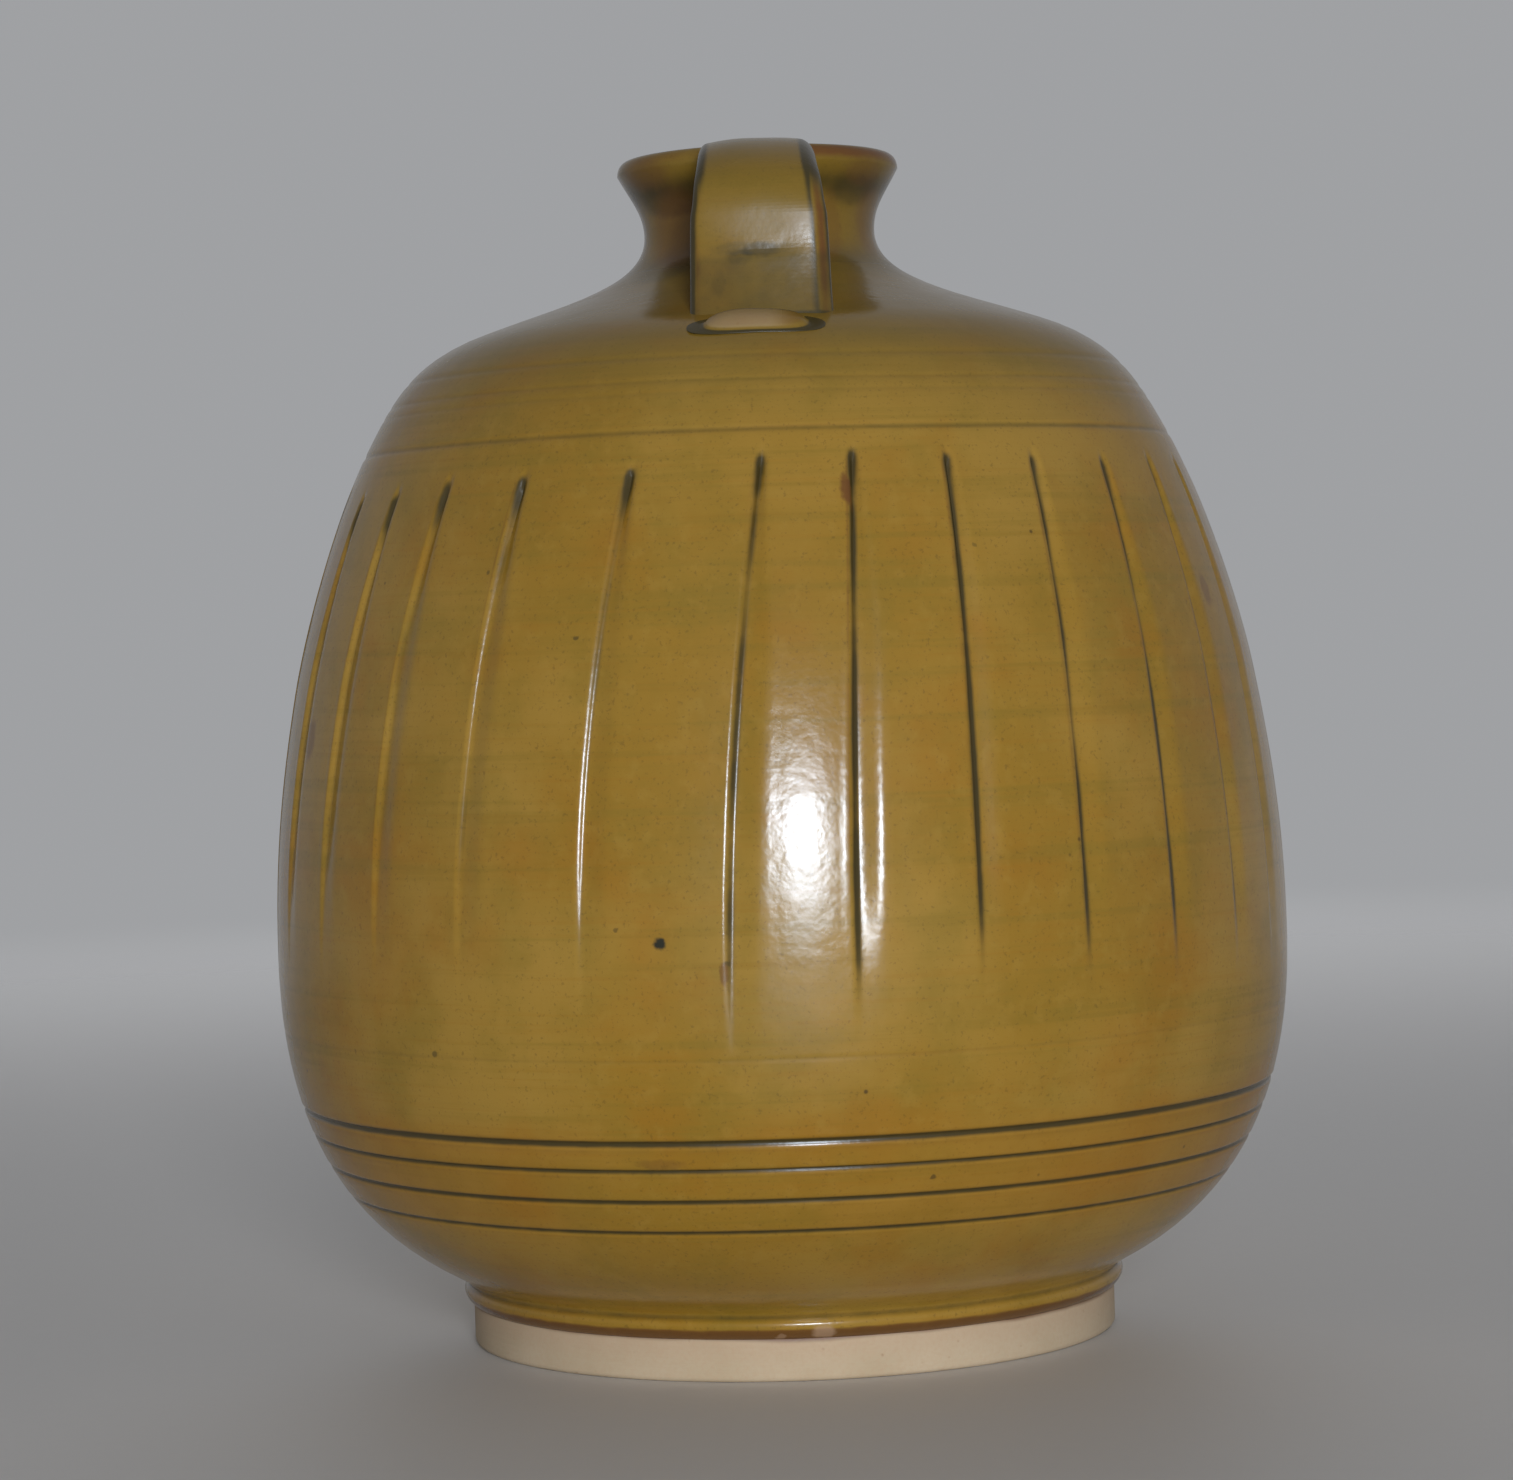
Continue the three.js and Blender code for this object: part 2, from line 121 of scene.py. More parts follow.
# How a line is cut, in half widths: its reach, the spreads of cut and pool, then the strength,
# distance and spread of the burrs beside it and of the thin glaze below it
LINE_REACH = 4.0
LINE_CUT_SPREAD = 0.75
LINE_POOL_SPREAD = 0.8
LINE_BURR = (0.12, 1.5, 0.5)
LINE_THIN = (0.36, 2.1, 1.1)

# Flutes on the front: degrees from the front handle towards +X at the top, the middle and the
# foot, then the heights of the top and the foot
FRONT_FLUTES = [
    (-68.6, -71.0, -71.5, 146.5 * MM, 66 * MM),
    (-57.0, -59.4, -60.2, 147.0 * MM, 66 * MM),
    (-45.8, -48.4, -48.6, 148.4 * MM, 66 * MM),
    (-32.8, -35.3, -36.0, 148.2 * MM, 64 * MM),
    (-17.6, -20.5, -21.2, 148.6 * MM, 58 * MM),
    (-1.2, -4.4, -5.6, 150.2 * MM, 51 * MM),
    (10.4, 8.2, 7.5, 150.6 * MM, 57 * MM),
    (23.0, 21.2, 20.7, 149.8 * MM, 59 * MM),
    (35.8, 33.8, 33.5, 149.4 * MM, 60 * MM),
    (48.6, 46.4, 46.3, 148.6 * MM, 59 * MM),
    (60.6, 58.6, 58.3, 149.0 * MM, 61 * MM),
    (71.6, 69.5, 69.0, 148.6 * MM, 62 * MM),
]
BACK_FLUTE_COUNT = 16
FLUTE_TOP = 149 * MM
FLUTE_FOOT = 61 * MM
FLUTE_TOP_TURN = 2.4
FLUTE_FOOT_TURN = -0.5
FLUTE_MIDDLE = 104 * MM
FLUTE_HALF_LENGTH = 42 * MM
FLUTE_OVERRUN = 1.2

# How the hand varies the back's flutes at the middle, the top and the foot in degrees, then in
# the heights of top and foot: seed, rate along the flutes and spread
BACK_FLUTE_HAND = [
    (1, 0.73, 2.4),
    (2, 0.57, 1.6),
    (3, 0.61, 1.2),
    (4, 0.83, 3 * MM),
    (5, 0.91, 12 * MM),
]

# A flute's cut: it enters below its top, bites a little deeper there, and fades in above its foot.
# Its steep wall stands on both sides of its line, and its facet widens on the way down.
FLUTE_DEPTH = 0.7 * MM
FLUTE_ENTRY = (-0.9 * MM, 3.6 * MM)
FLUTE_FADE = 32 * MM
FLUTE_PRESSURE = 0.3
BITE_PLACE = 2.5 * MM
BITE_REACH = 6 * MM
BITE_DEPTH = 0.12 * MM
FLUTE_WALL = 0.85 * MM
WALL_SPREAD = 0.25
WALL_BEFORE = 0.55
WALL_AFTER = 0.45
FLUTE_FACET = 4.3 * MM
FACET_FIRST_SHARE = 0.3
FACET_WIDENS = 34 * MM

# The raised lips beside a flute's wall and facet, the thin glaze on the wall's lip, and the pool
# in the cut, which is deepest in the flute's blunt top
FLUTE_LIP = 0.07 * MM
WALL_LIP_PLACE = 0.35 * MM
WALL_LIP_SPREAD = 0.4 * MM
FACET_LIP_SHARE = 1.1
FACET_LIP_SPREAD = 0.9 * MM
LIP_THIN = 0.45
LIP_THIN_PLACE = 0.3 * MM
LIP_THIN_SPREAD = 0.3 * MM
POOL_PLACE = 0.2 * MM
POOL_SPREAD = 0.66 * MM
BITE_POOL_SPREAD = 0.15 * MM
POOL_FILL = 1.25
POOL_PATCHES = 0.9
TOP_POOL = 0.95
TOP_POOL_START = (0.2 * MM, 1.2 * MM)
TOP_POOL_END = (13 * MM, 2 * MM)
# Pool strength of each front flute: pooled glaze, raised on the flutes towards +X as painted shade
# on walls that face away
FRONT_FLUTE_POOLS_AND_SHADE = [0.2, 0.2, 0.22, 0.25, 0.3, 0.5, 0.85, 0.95, 0.95, 0.95, 0.8, 0.6]
BACK_FLUTE_POOL = 0.5

# Columns of the body: finest in each flute, with more of them on its facet's side
COLUMNS_LEFT = 7
COLUMNS_RIGHT = 11
CROWDING_LEFT = 3.0
CROWDING_RIGHT = 2.4
NECK_COLUMNS = 240
FOOT_COLUMNS = 288

# Rows of the body: the usual step along the outline, and the finer ones at lines, flute tops and
# the neck's seat, each with how far it reaches, which for a line is in half widths
ROW_STEP = 3.0 * MM
ROW_GROWTH = 0.5
LINE_STEP = 0.28 * MM
LINE_ROWS = 1.4
FLUTE_TOP_STEP = 0.75 * MM
FLUTE_TOP_ROWS = 2.6 * MM
SEAT_STEP = 0.3 * MM
SEAT_ROWS = 0.8 * MM

# The potter's hand on the body: how far up and down the lines slip, how far the wall moves, and
# over what lengths at the foot and the seat neither does
LINE_SLIP = 0.5 * MM
WALL_HAND = 0.12 * MM
FOOT_HOLD = 12 * MM
SEAT_HOLD = 14 * MM

# The bead of glaze above the foot, and the groove above the bead
ROLL_STEPS = 15
ROLL_BULGE = 0.9 * MM
ROLL_SHARE = 0.74
ROLL_ROUNDING = 0.8
ROLL_THIN = (9.2 * MM, 8.3 * MM)
ROLL_THIN_POOL = 0.2
GROOVE_HEIGHT = 10.7 * MM
GROOVE_SPREAD = 0.6 * MM
GROOVE_DEPTH = 0.3 * MM
GROOVE_POOL = 0.4

# The inside of the body, from just below its seat to the rounded corner above its floor
INNER_ROWS = 9
INNER_DROP = 1.5 * MM
INNER_CORNER_RISE = 12 * MM
INNER_CORNER_REACH = 14 * MM
INNER_POOL = 0.2
FLOOR_POOL = 0.4

# Where glaze gathers at the foot of the neck, and painted shade under the lip over pooled glaze:
# strength, height and spread
JOINT_POOLS_AND_LIP_SHADE = [(0.34, 184 * MM, 3.5 * MM), (0.5, 197.3 * MM, 2.6 * MM)]

# Crease angles, in degrees, of turned pieces and of handles
TURNED_CREASE = 50
HANDLE_CREASE = 60


# Small helpers

def clamp(value, low=0.0, high=1.0):
    return max(low, min(high, value))


def blend(first, second, share):
    return first + (second - first) * share


def smoothstep(value, low, high):
    share = clamp((value - low) / (high - low))
    return share * share * (3 - 2 * share)


def hump(distance, spread):
    return math.exp(-((distance / spread) ** 2))


def humps(value, rows):
    """Humps added up, from rows of strength, place and spread."""
    return sum(strength * hump(value - place, spread) for strength, place, spread in rows)


SEED_SHIFT = (7.3, -3.1, 1.7)


def wander(seed, *place):
    """A smooth random value, mostly within -0.5 and 0.5, the same on each run. Each use has its
    own seed, and gives its place times the rate at which the value changes."""
    filled = (*place, 0.0, 0.0, 0.0)
    return noise.noise(Vector([axis + shift * seed for axis, shift in zip(filled, SEED_SHIFT)]))


# The outline, as fine points of radius and height with the length run so far

def bezier(first, second, third, fourth, share):
    rest = 1 - share
    return (
        first * rest**3
        + second * (3 * rest**2 * share)
        + third * (3 * rest * share**2)
        + fourth * share**3
    )


def lean_vector(degrees):
    return Vector((math.cos(math.radians(degrees)), math.sin(math.radians(degrees))))


def outline_points():
    points = []
    for lower, upper in zip(STATIONS, STATIONS[1:]):
        start = Vector(lower[:2])
        end = Vector(upper[:2])
        distance = (end - start).length
        second = start + lean_vector(lower[2]) * (lower[4] * distance)
        third = end - lean_vector(upper[2]) * (upper[3] * distance)
        for step in range(CURVE_STEPS):
            points.append(bezier(start, second, third, end, step / CURVE_STEPS))
    return points + [Vector(STATIONS[-1][:2])]


OUTLINE = outline_points()
LENGTHS = [0.0]
for before, after in zip(OUTLINE, OUTLINE[1:]):
    LENGTHS.append(LENGTHS[-1] + (after - before).length)


def length_at_height(height):
    heights = [point.y for point in OUTLINE]
    above = clamp(bisect.bisect_left(heights, height), 1, len(heights) - 1)
    low, high = OUTLINE[above - 1], OUTLINE[above]
    share = (height - low.y) / (high.y - low.y)
    return blend(LENGTHS[above - 1], LENGTHS[above], share)


def outline_at(length):
    """The outline's point at a length, and the direction straight out of the wall there."""
    above = clamp(bisect.bisect_left(LENGTHS, length), 1, len(LENGTHS) - 1)
    low, high = OUTLINE[above - 1], OUTLINE[above]
    span = LENGTHS[above] - LENGTHS[above - 1]
    along = (high - low).normalized()
    point = low.lerp(high, (length - LENGTHS[above - 1]) / span)
    return point, Vector((along.y, -along.x))


def shoulder_height(radius):
    """The shoulder's height at a radius inside its incised line."""
    for low, high in zip(OUTLINE, OUTLINE[1:]):
        if low.y >= SHOULDER_LINE_HEIGHT and high.x <= radius:
            return blend(low.y, high.y, clamp((low.x - radius) / (low.x - high.x)))
    return SEAT_HEIGHT


# Mesh tools. Each vertex carries how thin the glaze is, how deep it pools and how bare it is.

LAYER_NAMES = ("thin", "pool", "bare")


def new_bmesh():
    bm = bmesh.new()
    for name in LAYER_NAMES:
        bm.verts.layers.float.new(name)
    return bm


def layers_of(bm):
    return [bm.verts.layers.float[name] for name in LAYER_NAMES]


def ring(radius, height, thin=0.0, pool=0.0, bare=0.0):
    """A point of a turned profile, with its glaze marks."""
    return radius, height, thin, pool, bare


TURNED_SECTORS = 24


def spin_profile(bm, profile, steps, sectors=TURNED_SECTORS, closed=False):
    """Turns a profile round +Z: one sector is spun, then the sector is carried round."""
    row_layer = bm.verts.layers.int.new("row")
    verts = []
    for row, (radius, height, *marks) in enumerate(profile):
        vert = bm.verts.new((0, -radius, height))
        vert[row_layer] = row
        for layer, mark in zip(layers_of(bm), marks):
            vert[layer] = mark
        verts.append(vert)
    pairs = list(zip(verts, verts[1:]))
    if closed:
        pairs.append((verts[-1], verts[0]))
    edges = [bm.edges.new(pair) for pair in pairs]
    sector = FULL_TURN / sectors
    centre, axis = (0, 0, 0), (0, 0, 1)
    bmesh.ops.spin(
        bm,
        geom=verts + edges,
        cent=centre,
        axis=axis,
        angle=sector,
        steps=steps // sectors,
    )
    bmesh.ops.spin(
        bm,
        geom=bm.verts[:] + bm.edges[:] + bm.faces[:],
        cent=centre,
        axis=axis,
        angle=FULL_TURN - sector,
        steps=sectors - 1,
        use_duplicate=True,
    )
    bmesh.ops.remove_doubles(bm, verts=bm.verts, dist=TINY)


def round_off(bm, geom, radius, affect, segments):
    bmesh.ops.bevel(
        bm,
        geom=geom,
        offset=radius,
        affect=affect,
        segments=segments,
        profile=0.5,
        material=-1,
    )


def to_object(bm, name, crease_angle):
    bmesh.ops.recalc_face_normals(bm, faces=bm.faces)
    for face in bm.faces:
        face.smooth = True
    mesh = bpy.data.meshes.new(name)
    bm.to_mesh(mesh)
    bm.free()
    mesh.set_sharp_from_angle(angle=math.radians(crease_angle))
    piece = bpy.data.objects.new(name, mesh)
    bpy.context.scene.collection.objects.link(piece)
    return piece


def dress(piece, material, slot, *nodes):
    piece.data.materials.append(material)
    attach(piece, "root")
    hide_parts(*nodes)


# Vase body: a spun wall whose vertices are then moved for flutes, lines and the potter's hand

def flutes_all_round():
    first, last = FRONT_FLUTES[0], FRONT_FLUTES[-1]
    step = (360 - last[1] + first[1]) / (BACK_FLUTE_COUNT + 1)
    flutes = list(FRONT_FLUTES)
    for index in range(BACK_FLUTE_COUNT):
        hand = [spread * wander(seed, index * rate) for seed, rate, spread in BACK_FLUTE_HAND]
        middle = last[1] + step * (index + 1) + hand[0]
        top = middle + FLUTE_TOP_TURN + hand[1]
        foot = middle + FLUTE_FOOT_TURN + hand[2]
        flutes.append((top, middle, foot, FLUTE_TOP + hand[3], FLUTE_FOOT + hand[4]))
    return flutes


FLUTES = flutes_all_round()
COLUMNS_PER_FLUTE = COLUMNS_LEFT + COLUMNS_RIGHT
BODY_COLUMNS = COLUMNS_PER_FLUTE * len(FLUTES)


def flute_azimuth(index, height):
    """Where a flute lies at a height, in degrees; indices past either end carry on round."""
    turns, index = divmod(index, len(FLUTES))
    top, middle, foot = FLUTES[index][:3]
    share = (height - FLUTE_MIDDLE) / FLUTE_HALF_LENGTH
    share = clamp(share, -FLUTE_OVERRUN, FLUTE_OVERRUN)
    steady = (top - foot) / 2
    curl = (top + foot) / 2 - middle
    return middle + share * steady + share * share * curl + 360 * turns


def column_shares():
    """Each column's place beside its flute, from -1 midway to the one before to 1 midway on."""
    shares = []
    for step in range(COLUMNS_LEFT):
        share = (COLUMNS_LEFT - step) / COLUMNS_LEFT
        shares.append(-math.sinh(CROWDING_LEFT * share) / math.sinh(CROWDING_LEFT))
    for step in range(COLUMNS_RIGHT):
        share = step / COLUMNS_RIGHT
        shares.append(math.sinh(CROWDING_RIGHT * share) / math.sinh(CROWDING_RIGHT))
    return shares


COLUMN_SHARES = column_shares()


def column_places(height):
    """Each column's azimuth at a height, its flute, and its distance from it, in degrees."""
    count = len(FLUTES)
    azimuths = [flute_azimuth(index, height) for index in range(-1, count + 1)]
    places = []
    for flute in range(count):
        before, here, after = azimuths[flute : flute + 3]
        for share in COLUMN_SHARES:
            gap = here - before if share < 0 else after - here
            places.append((here + share * gap / 2, flute, share * gap / 2))
    return places


def flute_pool(flute, below_top, height):
    """How strongly glaze pools in a flute, patchy along it and darkest in its blunt top. On the
    front flutes towards +X it is raised as painted shade.
    """
    if flute < len(FRONT_FLUTE_POOLS_AND_SHADE):
        usual = FRONT_FLUTE_POOLS_AND_SHADE[flute]
    else:
        usual = BACK_FLUTE_POOL * (1 + wander(13, flute * 0.87))
    patchy = usual * (1 + POOL_PATCHES * wander(14, flute * 1.9, height * 75))
    top = smoothstep(below_top, *TOP_POOL_START) * smoothstep(below_top, *TOP_POOL_END)
    return max(patchy, TOP_POOL * top)


def flute_cut(flute, across, height):
    """How far a flute moves the wall outwards, how thin the glaze is there and how it pools."""
    top, foot = FLUTES[flute][3:]
    below_top = top - height
    if below_top < FLUTE_ENTRY[0] or height < foot:
        return 0.0, 0.0, 0.0
    entry = smoothstep(below_top, *FLUTE_ENTRY)
    fade = smoothstep(height, foot, foot + FLUTE_FADE)
    pressure = 1 + FLUTE_PRESSURE * wander(6, flute * 1.37, height * 22)
    strength = entry * fade * pressure
    bite = hump(below_top - BITE_PLACE, BITE_REACH)
    depth = (FLUTE_DEPTH + BITE_DEPTH * bite) * strength
    widening = smoothstep(below_top, 0, FACET_WIDENS)
    facet = FLUTE_FACET * blend(FACET_FIRST_SHARE, 1.0, widening)
    wall = FLUTE_WALL * (1 + WALL_SPREAD * wander(7, flute * 0.77, height * 15))
    lip = -wall * WALL_BEFORE
    bottom = wall * WALL_AFTER
    cut = smoothstep(across, lip, bottom) - smoothstep(across, bottom, bottom + facet)
    wall_lip = hump(across - lip + WALL_LIP_PLACE, WALL_LIP_SPREAD)
    facet_lip = FACET_LIP_SHARE * hump(across - bottom - facet, FACET_LIP_SPREAD)
    out = FLUTE_LIP * strength * (wall_lip + facet_lip) - depth * cut
    pool = hump(across - POOL_PLACE, POOL_SPREAD + BITE_POOL_SPREAD * bite)
    pool *= clamp(strength * POOL_FILL) * flute_pool(flute, below_top, height)
    thin = LIP_THIN * strength * hump(across - lip + LIP_THIN_PLACE, LIP_THIN_SPREAD)
    return out, thin, pool


def line_cut(height):
    """How far the incised lines move the wall outwards, and how the glaze pools in them and
    breaks thin on their lower edges."""
    out, pool, thin = 0.0, 0.0, 0.0
    burr_share, burr_place, burr_spread = LINE_BURR
    thin_share, thin_place, thin_spread = LINE_THIN
    for line, half_width, depth, pooled in INCISED_LINES:
        away = (height - line) / half_width
        if abs(away) < LINE_REACH:
            burr = burr_share * hump(abs(away) - burr_place, burr_spread)
            out += depth * (burr - hump(away, LINE_CUT_SPREAD))
            pool = max(pool, pooled * hump(away, LINE_POOL_SPREAD))
            thin = max(thin, thin_share * pooled * hump(away + thin_place, thin_spread))
    return out, pool, thin


def row_lengths():
    """Lengths along the outline of the body's rows, close together where the shape is fine."""
    end = length_at_height(SEAT_HEIGHT)
    fine = [
        (length_at_height(line), LINE_ROWS * half_width, LINE_STEP)
        for line, half_width, *_ in INCISED_LINES
    ]
    fine.append((length_at_height(FLUTE_TOP), FLUTE_TOP_ROWS, FLUTE_TOP_STEP))
    fine.append((end, SEAT_ROWS, SEAT_STEP))
    lengths = [0.0]
    while lengths[-1] < end:
        step = ROW_STEP
        for centre, reach, fine_step in fine:
            away = max(0.0, abs(lengths[-1] - centre) - reach)
            step = min(step, fine_step + ROW_GROWTH * away)
        lengths.append(lengths[-1] + step)
    lengths[-1] = end
    return lengths[1:]


def glaze_roll():
    """The bead of glaze above the bare foot and the groove that was turned above the bead."""
    points = []
    for step in range(ROLL_STEPS):
        height = blend(WALL_START, CORNER_HEIGHT, step / ROLL_STEPS)
        share = (height - FOOT_HEIGHT) / (CORNER_HEIGHT - FOOT_HEIGHT)
        bulge = ROLL_BULGE * math.sin(math.pi * clamp(share / ROLL_SHARE)) ** ROLL_ROUNDING
        groove = hump(height - GROOVE_HEIGHT, GROOVE_SPREAD)
        radius = blend(FOOT_RADIUS, CORNER_RADIUS, share) + bulge - GROOVE_DEPTH * groove
        thin = smoothstep(height, *ROLL_THIN)
        points.append(ring(radius, height, thin, GROOVE_POOL * groove + ROLL_THIN_POOL * thin))
    return points


def inner_wall():
    points = []
    top = length_at_height(SEAT_HEIGHT - INNER_DROP)
    bottom = length_at_height(FLOOR_TOP + INNER_CORNER_RISE)
    for step in range(INNER_ROWS + 1):
        point, outward = outline_at(blend(top, bottom, step / INNER_ROWS))
        inside = point - outward * WALL
        points.append(ring(inside.x, inside.y, pool=INNER_POOL))
    points.append(ring(points[-1][0] - INNER_CORNER_REACH, FLOOR_TOP, pool=FLOOR_POOL))
    points.append(ring(0.0, FLOOR_TOP, pool=FLOOR_POOL))
    return points


def base_profile():
    boss = FOOT_RADIUS - FOOT_RING_WIDTH - SEAT_CLEARANCE
    base = [
        ring(0.0, BASE_HEIGHT, bare=1.0),
        ring(boss * 0.5, BASE_HEIGHT, bare=1.0),
        ring(boss, BASE_HEIGHT, bare=1.0),
        ring(boss, WALL_START, bare=1.0),
    ]
    return base + glaze_roll()


def shape_body(bm, profile, first_row, lengths):
    """Moves the vertices: columns gather at the flutes, and lines and flutes are cut."""
    row_layer = bm.verts.layers.int["row"]
    thin_layer, pool_layer, _ = layers_of(bm)
    places = [column_places(point[1]) for point in profile]
    points = [outline_at(length) for length in lengths]
    lines = [line_cut(point.y) for point, outward in points]
    end = lengths[-1]
    for vert in bm.verts:
        x, y, height = vert.co
        if abs(x) + abs(y) < TINY:
            continue
        turn = math.atan2(x, -y) % FULL_TURN
        column = round(turn / FULL_TURN * BODY_COLUMNS) % BODY_COLUMNS
        azimuth, flute, offset = places[vert[row_layer]][column]
        angle = math.radians(azimuth)
        east, south = math.sin(angle), math.cos(angle)
        radius = math.hypot(x, y)
        index = vert[row_layer] - first_row
        if 0 <= index < len(lengths):
            length = lengths[index]
            hold = smoothstep(length, 0, FOOT_HOLD) * smoothstep(end - length, 0, SEAT_HOLD)
            slip = LINE_SLIP * hold * wander(8, east * 1.3, south * 1.3, height * 9)
            point, outward = outline_at(length + slip) if hold else points[index]
            out, thin, pool = flute_cut(flute, math.radians(offset) * radius, height)
            hand = wander(9, east * 1.7, south * 1.7, height * 14) - 0.5
            line_out, line_pool, line_thin = lines[index]
            moved = point + outward * (out + line_out + WALL_HAND * hand * hold)
            radius, height = moved
            vert[thin_layer] = max(thin, line_thin)
            vert[pool_layer] = max(pool, line_pool, humps(height, JOINT_POOLS_AND_LIP_SHADE))
        vert.co = (radius * east, -radius * south, height)


def make_body(glaze):
    lengths = row_lengths()
    base = base_profile()
    wall = [ring(*outline_at(length)[0]) for length in lengths]
    opening = BORE_RADIUS + SPIGOT_WALL + SEAT_CLEARANCE
    profile = base + wall + [ring(opening, SEAT_HEIGHT)] + inner_wall()
    bm = new_bmesh()
    spin_profile(bm, profile, BODY_COLUMNS, len(FLUTES))
    shape_body(bm, profile, len(base), lengths)
    dress(to_object(bm, "glazed_body", TURNED_CREASE), glaze, "glaze", "vase_body")


# Neck and lip: the waisted neck, the rounded rim, the bore and the hidden spigot

NECK_STEPS = 44
NECK_CROWDING = 1.25
CROWN_STEPS = 14
FLARE_STEPS = 12
FLARE_POOL = 0.3
BORE_POOL = 0.4
RIM_THIN = [(1.0, 0.18, 0.17), (0.45, 0.9, 0.15)]
RIM_THIN_SIDES = (-9 * MM, 6 * MM)
RIM_THIN_LEAST = 0.4
NECK_STEADY = 3 * MM
NECK_HAND = 0.35 * MM


def rim_profile():
    """The crown of the rim, then the flare down to the bore."""
    outer = Vector((LIP_RADIUS, LIP_EDGE_HEIGHT))
    inner = outer - Vector((RIM_THICKNESS, 0))
    rise = Vector((0, (RIM_HEIGHT - LIP_EDGE_HEIGHT) * 4 / 3))
    points = []
    for step in range(CROWN_STEPS + 1):
        share = step / CROWN_STEPS
        point = bezier(outer, outer + rise, inner + rise, inner, share)
        points.append(ring(*point, thin=humps(share, RIM_THIN)))
    turn_in = Vector((BORE_RADIUS, BORE_FLARE_HEIGHT))
    end = Vector((BORE_RADIUS, NECK_WAIST_HEIGHT))
    for step in range(1, FLARE_STEPS + 1):
        share = step / FLARE_STEPS
        point = bezier(inner, inner.lerp(turn_in, 2 / 3), end.lerp(turn_in, 2 / 3), end, share)
        points.append(ring(*point, pool=FLARE_POOL * share))
    return points


def neck_profile():
    start = length_at_height(SEAT_HEIGHT)
    wall = []
    for step in range(NECK_STEPS):
        share = (step / NECK_STEPS) ** NECK_CROWDING
        point = outline_at(blend(start, LENGTHS[-1], share))[0]
        # The pool mark here is pooled glaze at the neck's foot and painted shade under the lip
        wall.append(ring(*point, pool=humps(point.y, JOINT_POOLS_AND_LIP_SHADE)))
    spigot_radius = BORE_RADIUS + SPIGOT_WALL
    spigot = [
        ring(BORE_RADIUS, (SPIGOT_BOTTOM + NECK_WAIST_HEIGHT) / 2, pool=BORE_POOL),
        ring(BORE_RADIUS, SPIGOT_BOTTOM, pool=BORE_POOL),
        ring(spigot_radius, SPIGOT_BOTTOM),
        ring(spigot_radius, SEAT_HEIGHT),
    ]
    return wall + rim_profile() + spigot


def make_neck(glaze):
    bm = new_bmesh()
    spin_profile(bm, neck_profile(), NECK_COLUMNS, closed=True)
    thin_layer = layers_of(bm)[0]
    for vert in bm.verts:
        hold = smoothstep(vert.co.z, SEAT_HEIGHT + NECK_STEADY, LIP_EDGE_HEIGHT)
        place = vert.co.normalized()
        lean = NECK_HAND * wander(11, place.x * 1.1, place.y * 1.1) * hold
        vert.co.x += lean * place.x
        vert.co.y += lean * place.y
        vert.co.z += NECK_HAND * (wander(12, place.x * 2, place.y * 2) - 0.5) * hold
        vert[thin_layer] *= blend(RIM_THIN_LEAST, 1.0, smoothstep(vert.co.x, *RIM_THIN_SIDES))
    piece = to_object(bm, "neck_and_flared_lip", TURNED_CREASE)
    dress(piece, glaze, "glaze", "neck_and_lip")


# Foot ring: turned bare clay

FOOT_EDGE_SEGMENTS = 4
NEAR = 0.01 * MM


def foot_profile():
    inner = FOOT_RADIUS - FOOT_RING_WIDTH
    sole = inner + FOOT_INNER_TAPER
    places = [
        (inner, FOOT_HEIGHT),
        (inner + 0.5 * FOOT_INNER_TAPER, FOOT_HEIGHT * 0.5),
        (sole, 0.0),
        ((sole + FOOT_RADIUS) / 2, 0.0),
        (FOOT_RADIUS, 0.0),
        (FOOT_RADIUS, FOOT_HEIGHT * 0.33),
        (FOOT_RADIUS, FOOT_HEIGHT * 0.66),
        (FOOT_RADIUS, FOOT_TOP),
    ]
    return [ring(radius, height, bare=1.0) for radius, height in places]


def is_sole_arris(edge):
    """Whether an edge runs round the sole on its inner or outer side."""
    first, second = (vert.co for vert in edge.verts)
    level = abs(first.z) < NEAR and abs(second.z) < NEAR
    runs_round = abs(first.length - second.length) < NEAR
    middle = FOOT_RADIUS - FOOT_RING_WIDTH / 2
    return level and runs_round and abs(first.length - middle) > FOOT_RING_WIDTH / 6


def make_foot(clay):
    bm = new_bmesh()
    spin_profile(bm, foot_profile(), FOOT_COLUMNS, closed=True)
    rounded = [edge for edge in bm.edges if is_sole_arris(edge)]
    round_off(bm, rounded, FOOT_EDGE, "EDGES", FOOT_EDGE_SEGMENTS)
    piece = to_object(bm, "bare_foot_ring", TURNED_CREASE)
    dress(piece, clay, "bare_clay", "foot_ring")


# Strap handles: a section with rounded arrises, carried out from the lip, over the knee and down

STRAP_START = 21.4 * MM
LEVEL_STEPS = 6
KNEE_STEPS = 42
DROP_STEPS = 24
DROP_OVERRUN = 1.07
FOOT_WIDTH_SHARE = 0.995
ARRIS_RADII = (1.5 * MM, 2.6 * MM, 1.6 * MM, 1.6 * MM)
ARRIS_SEGMENTS = 8
ARRIS_LONGEST = 3 * MM
SECTION_CUTS = 18

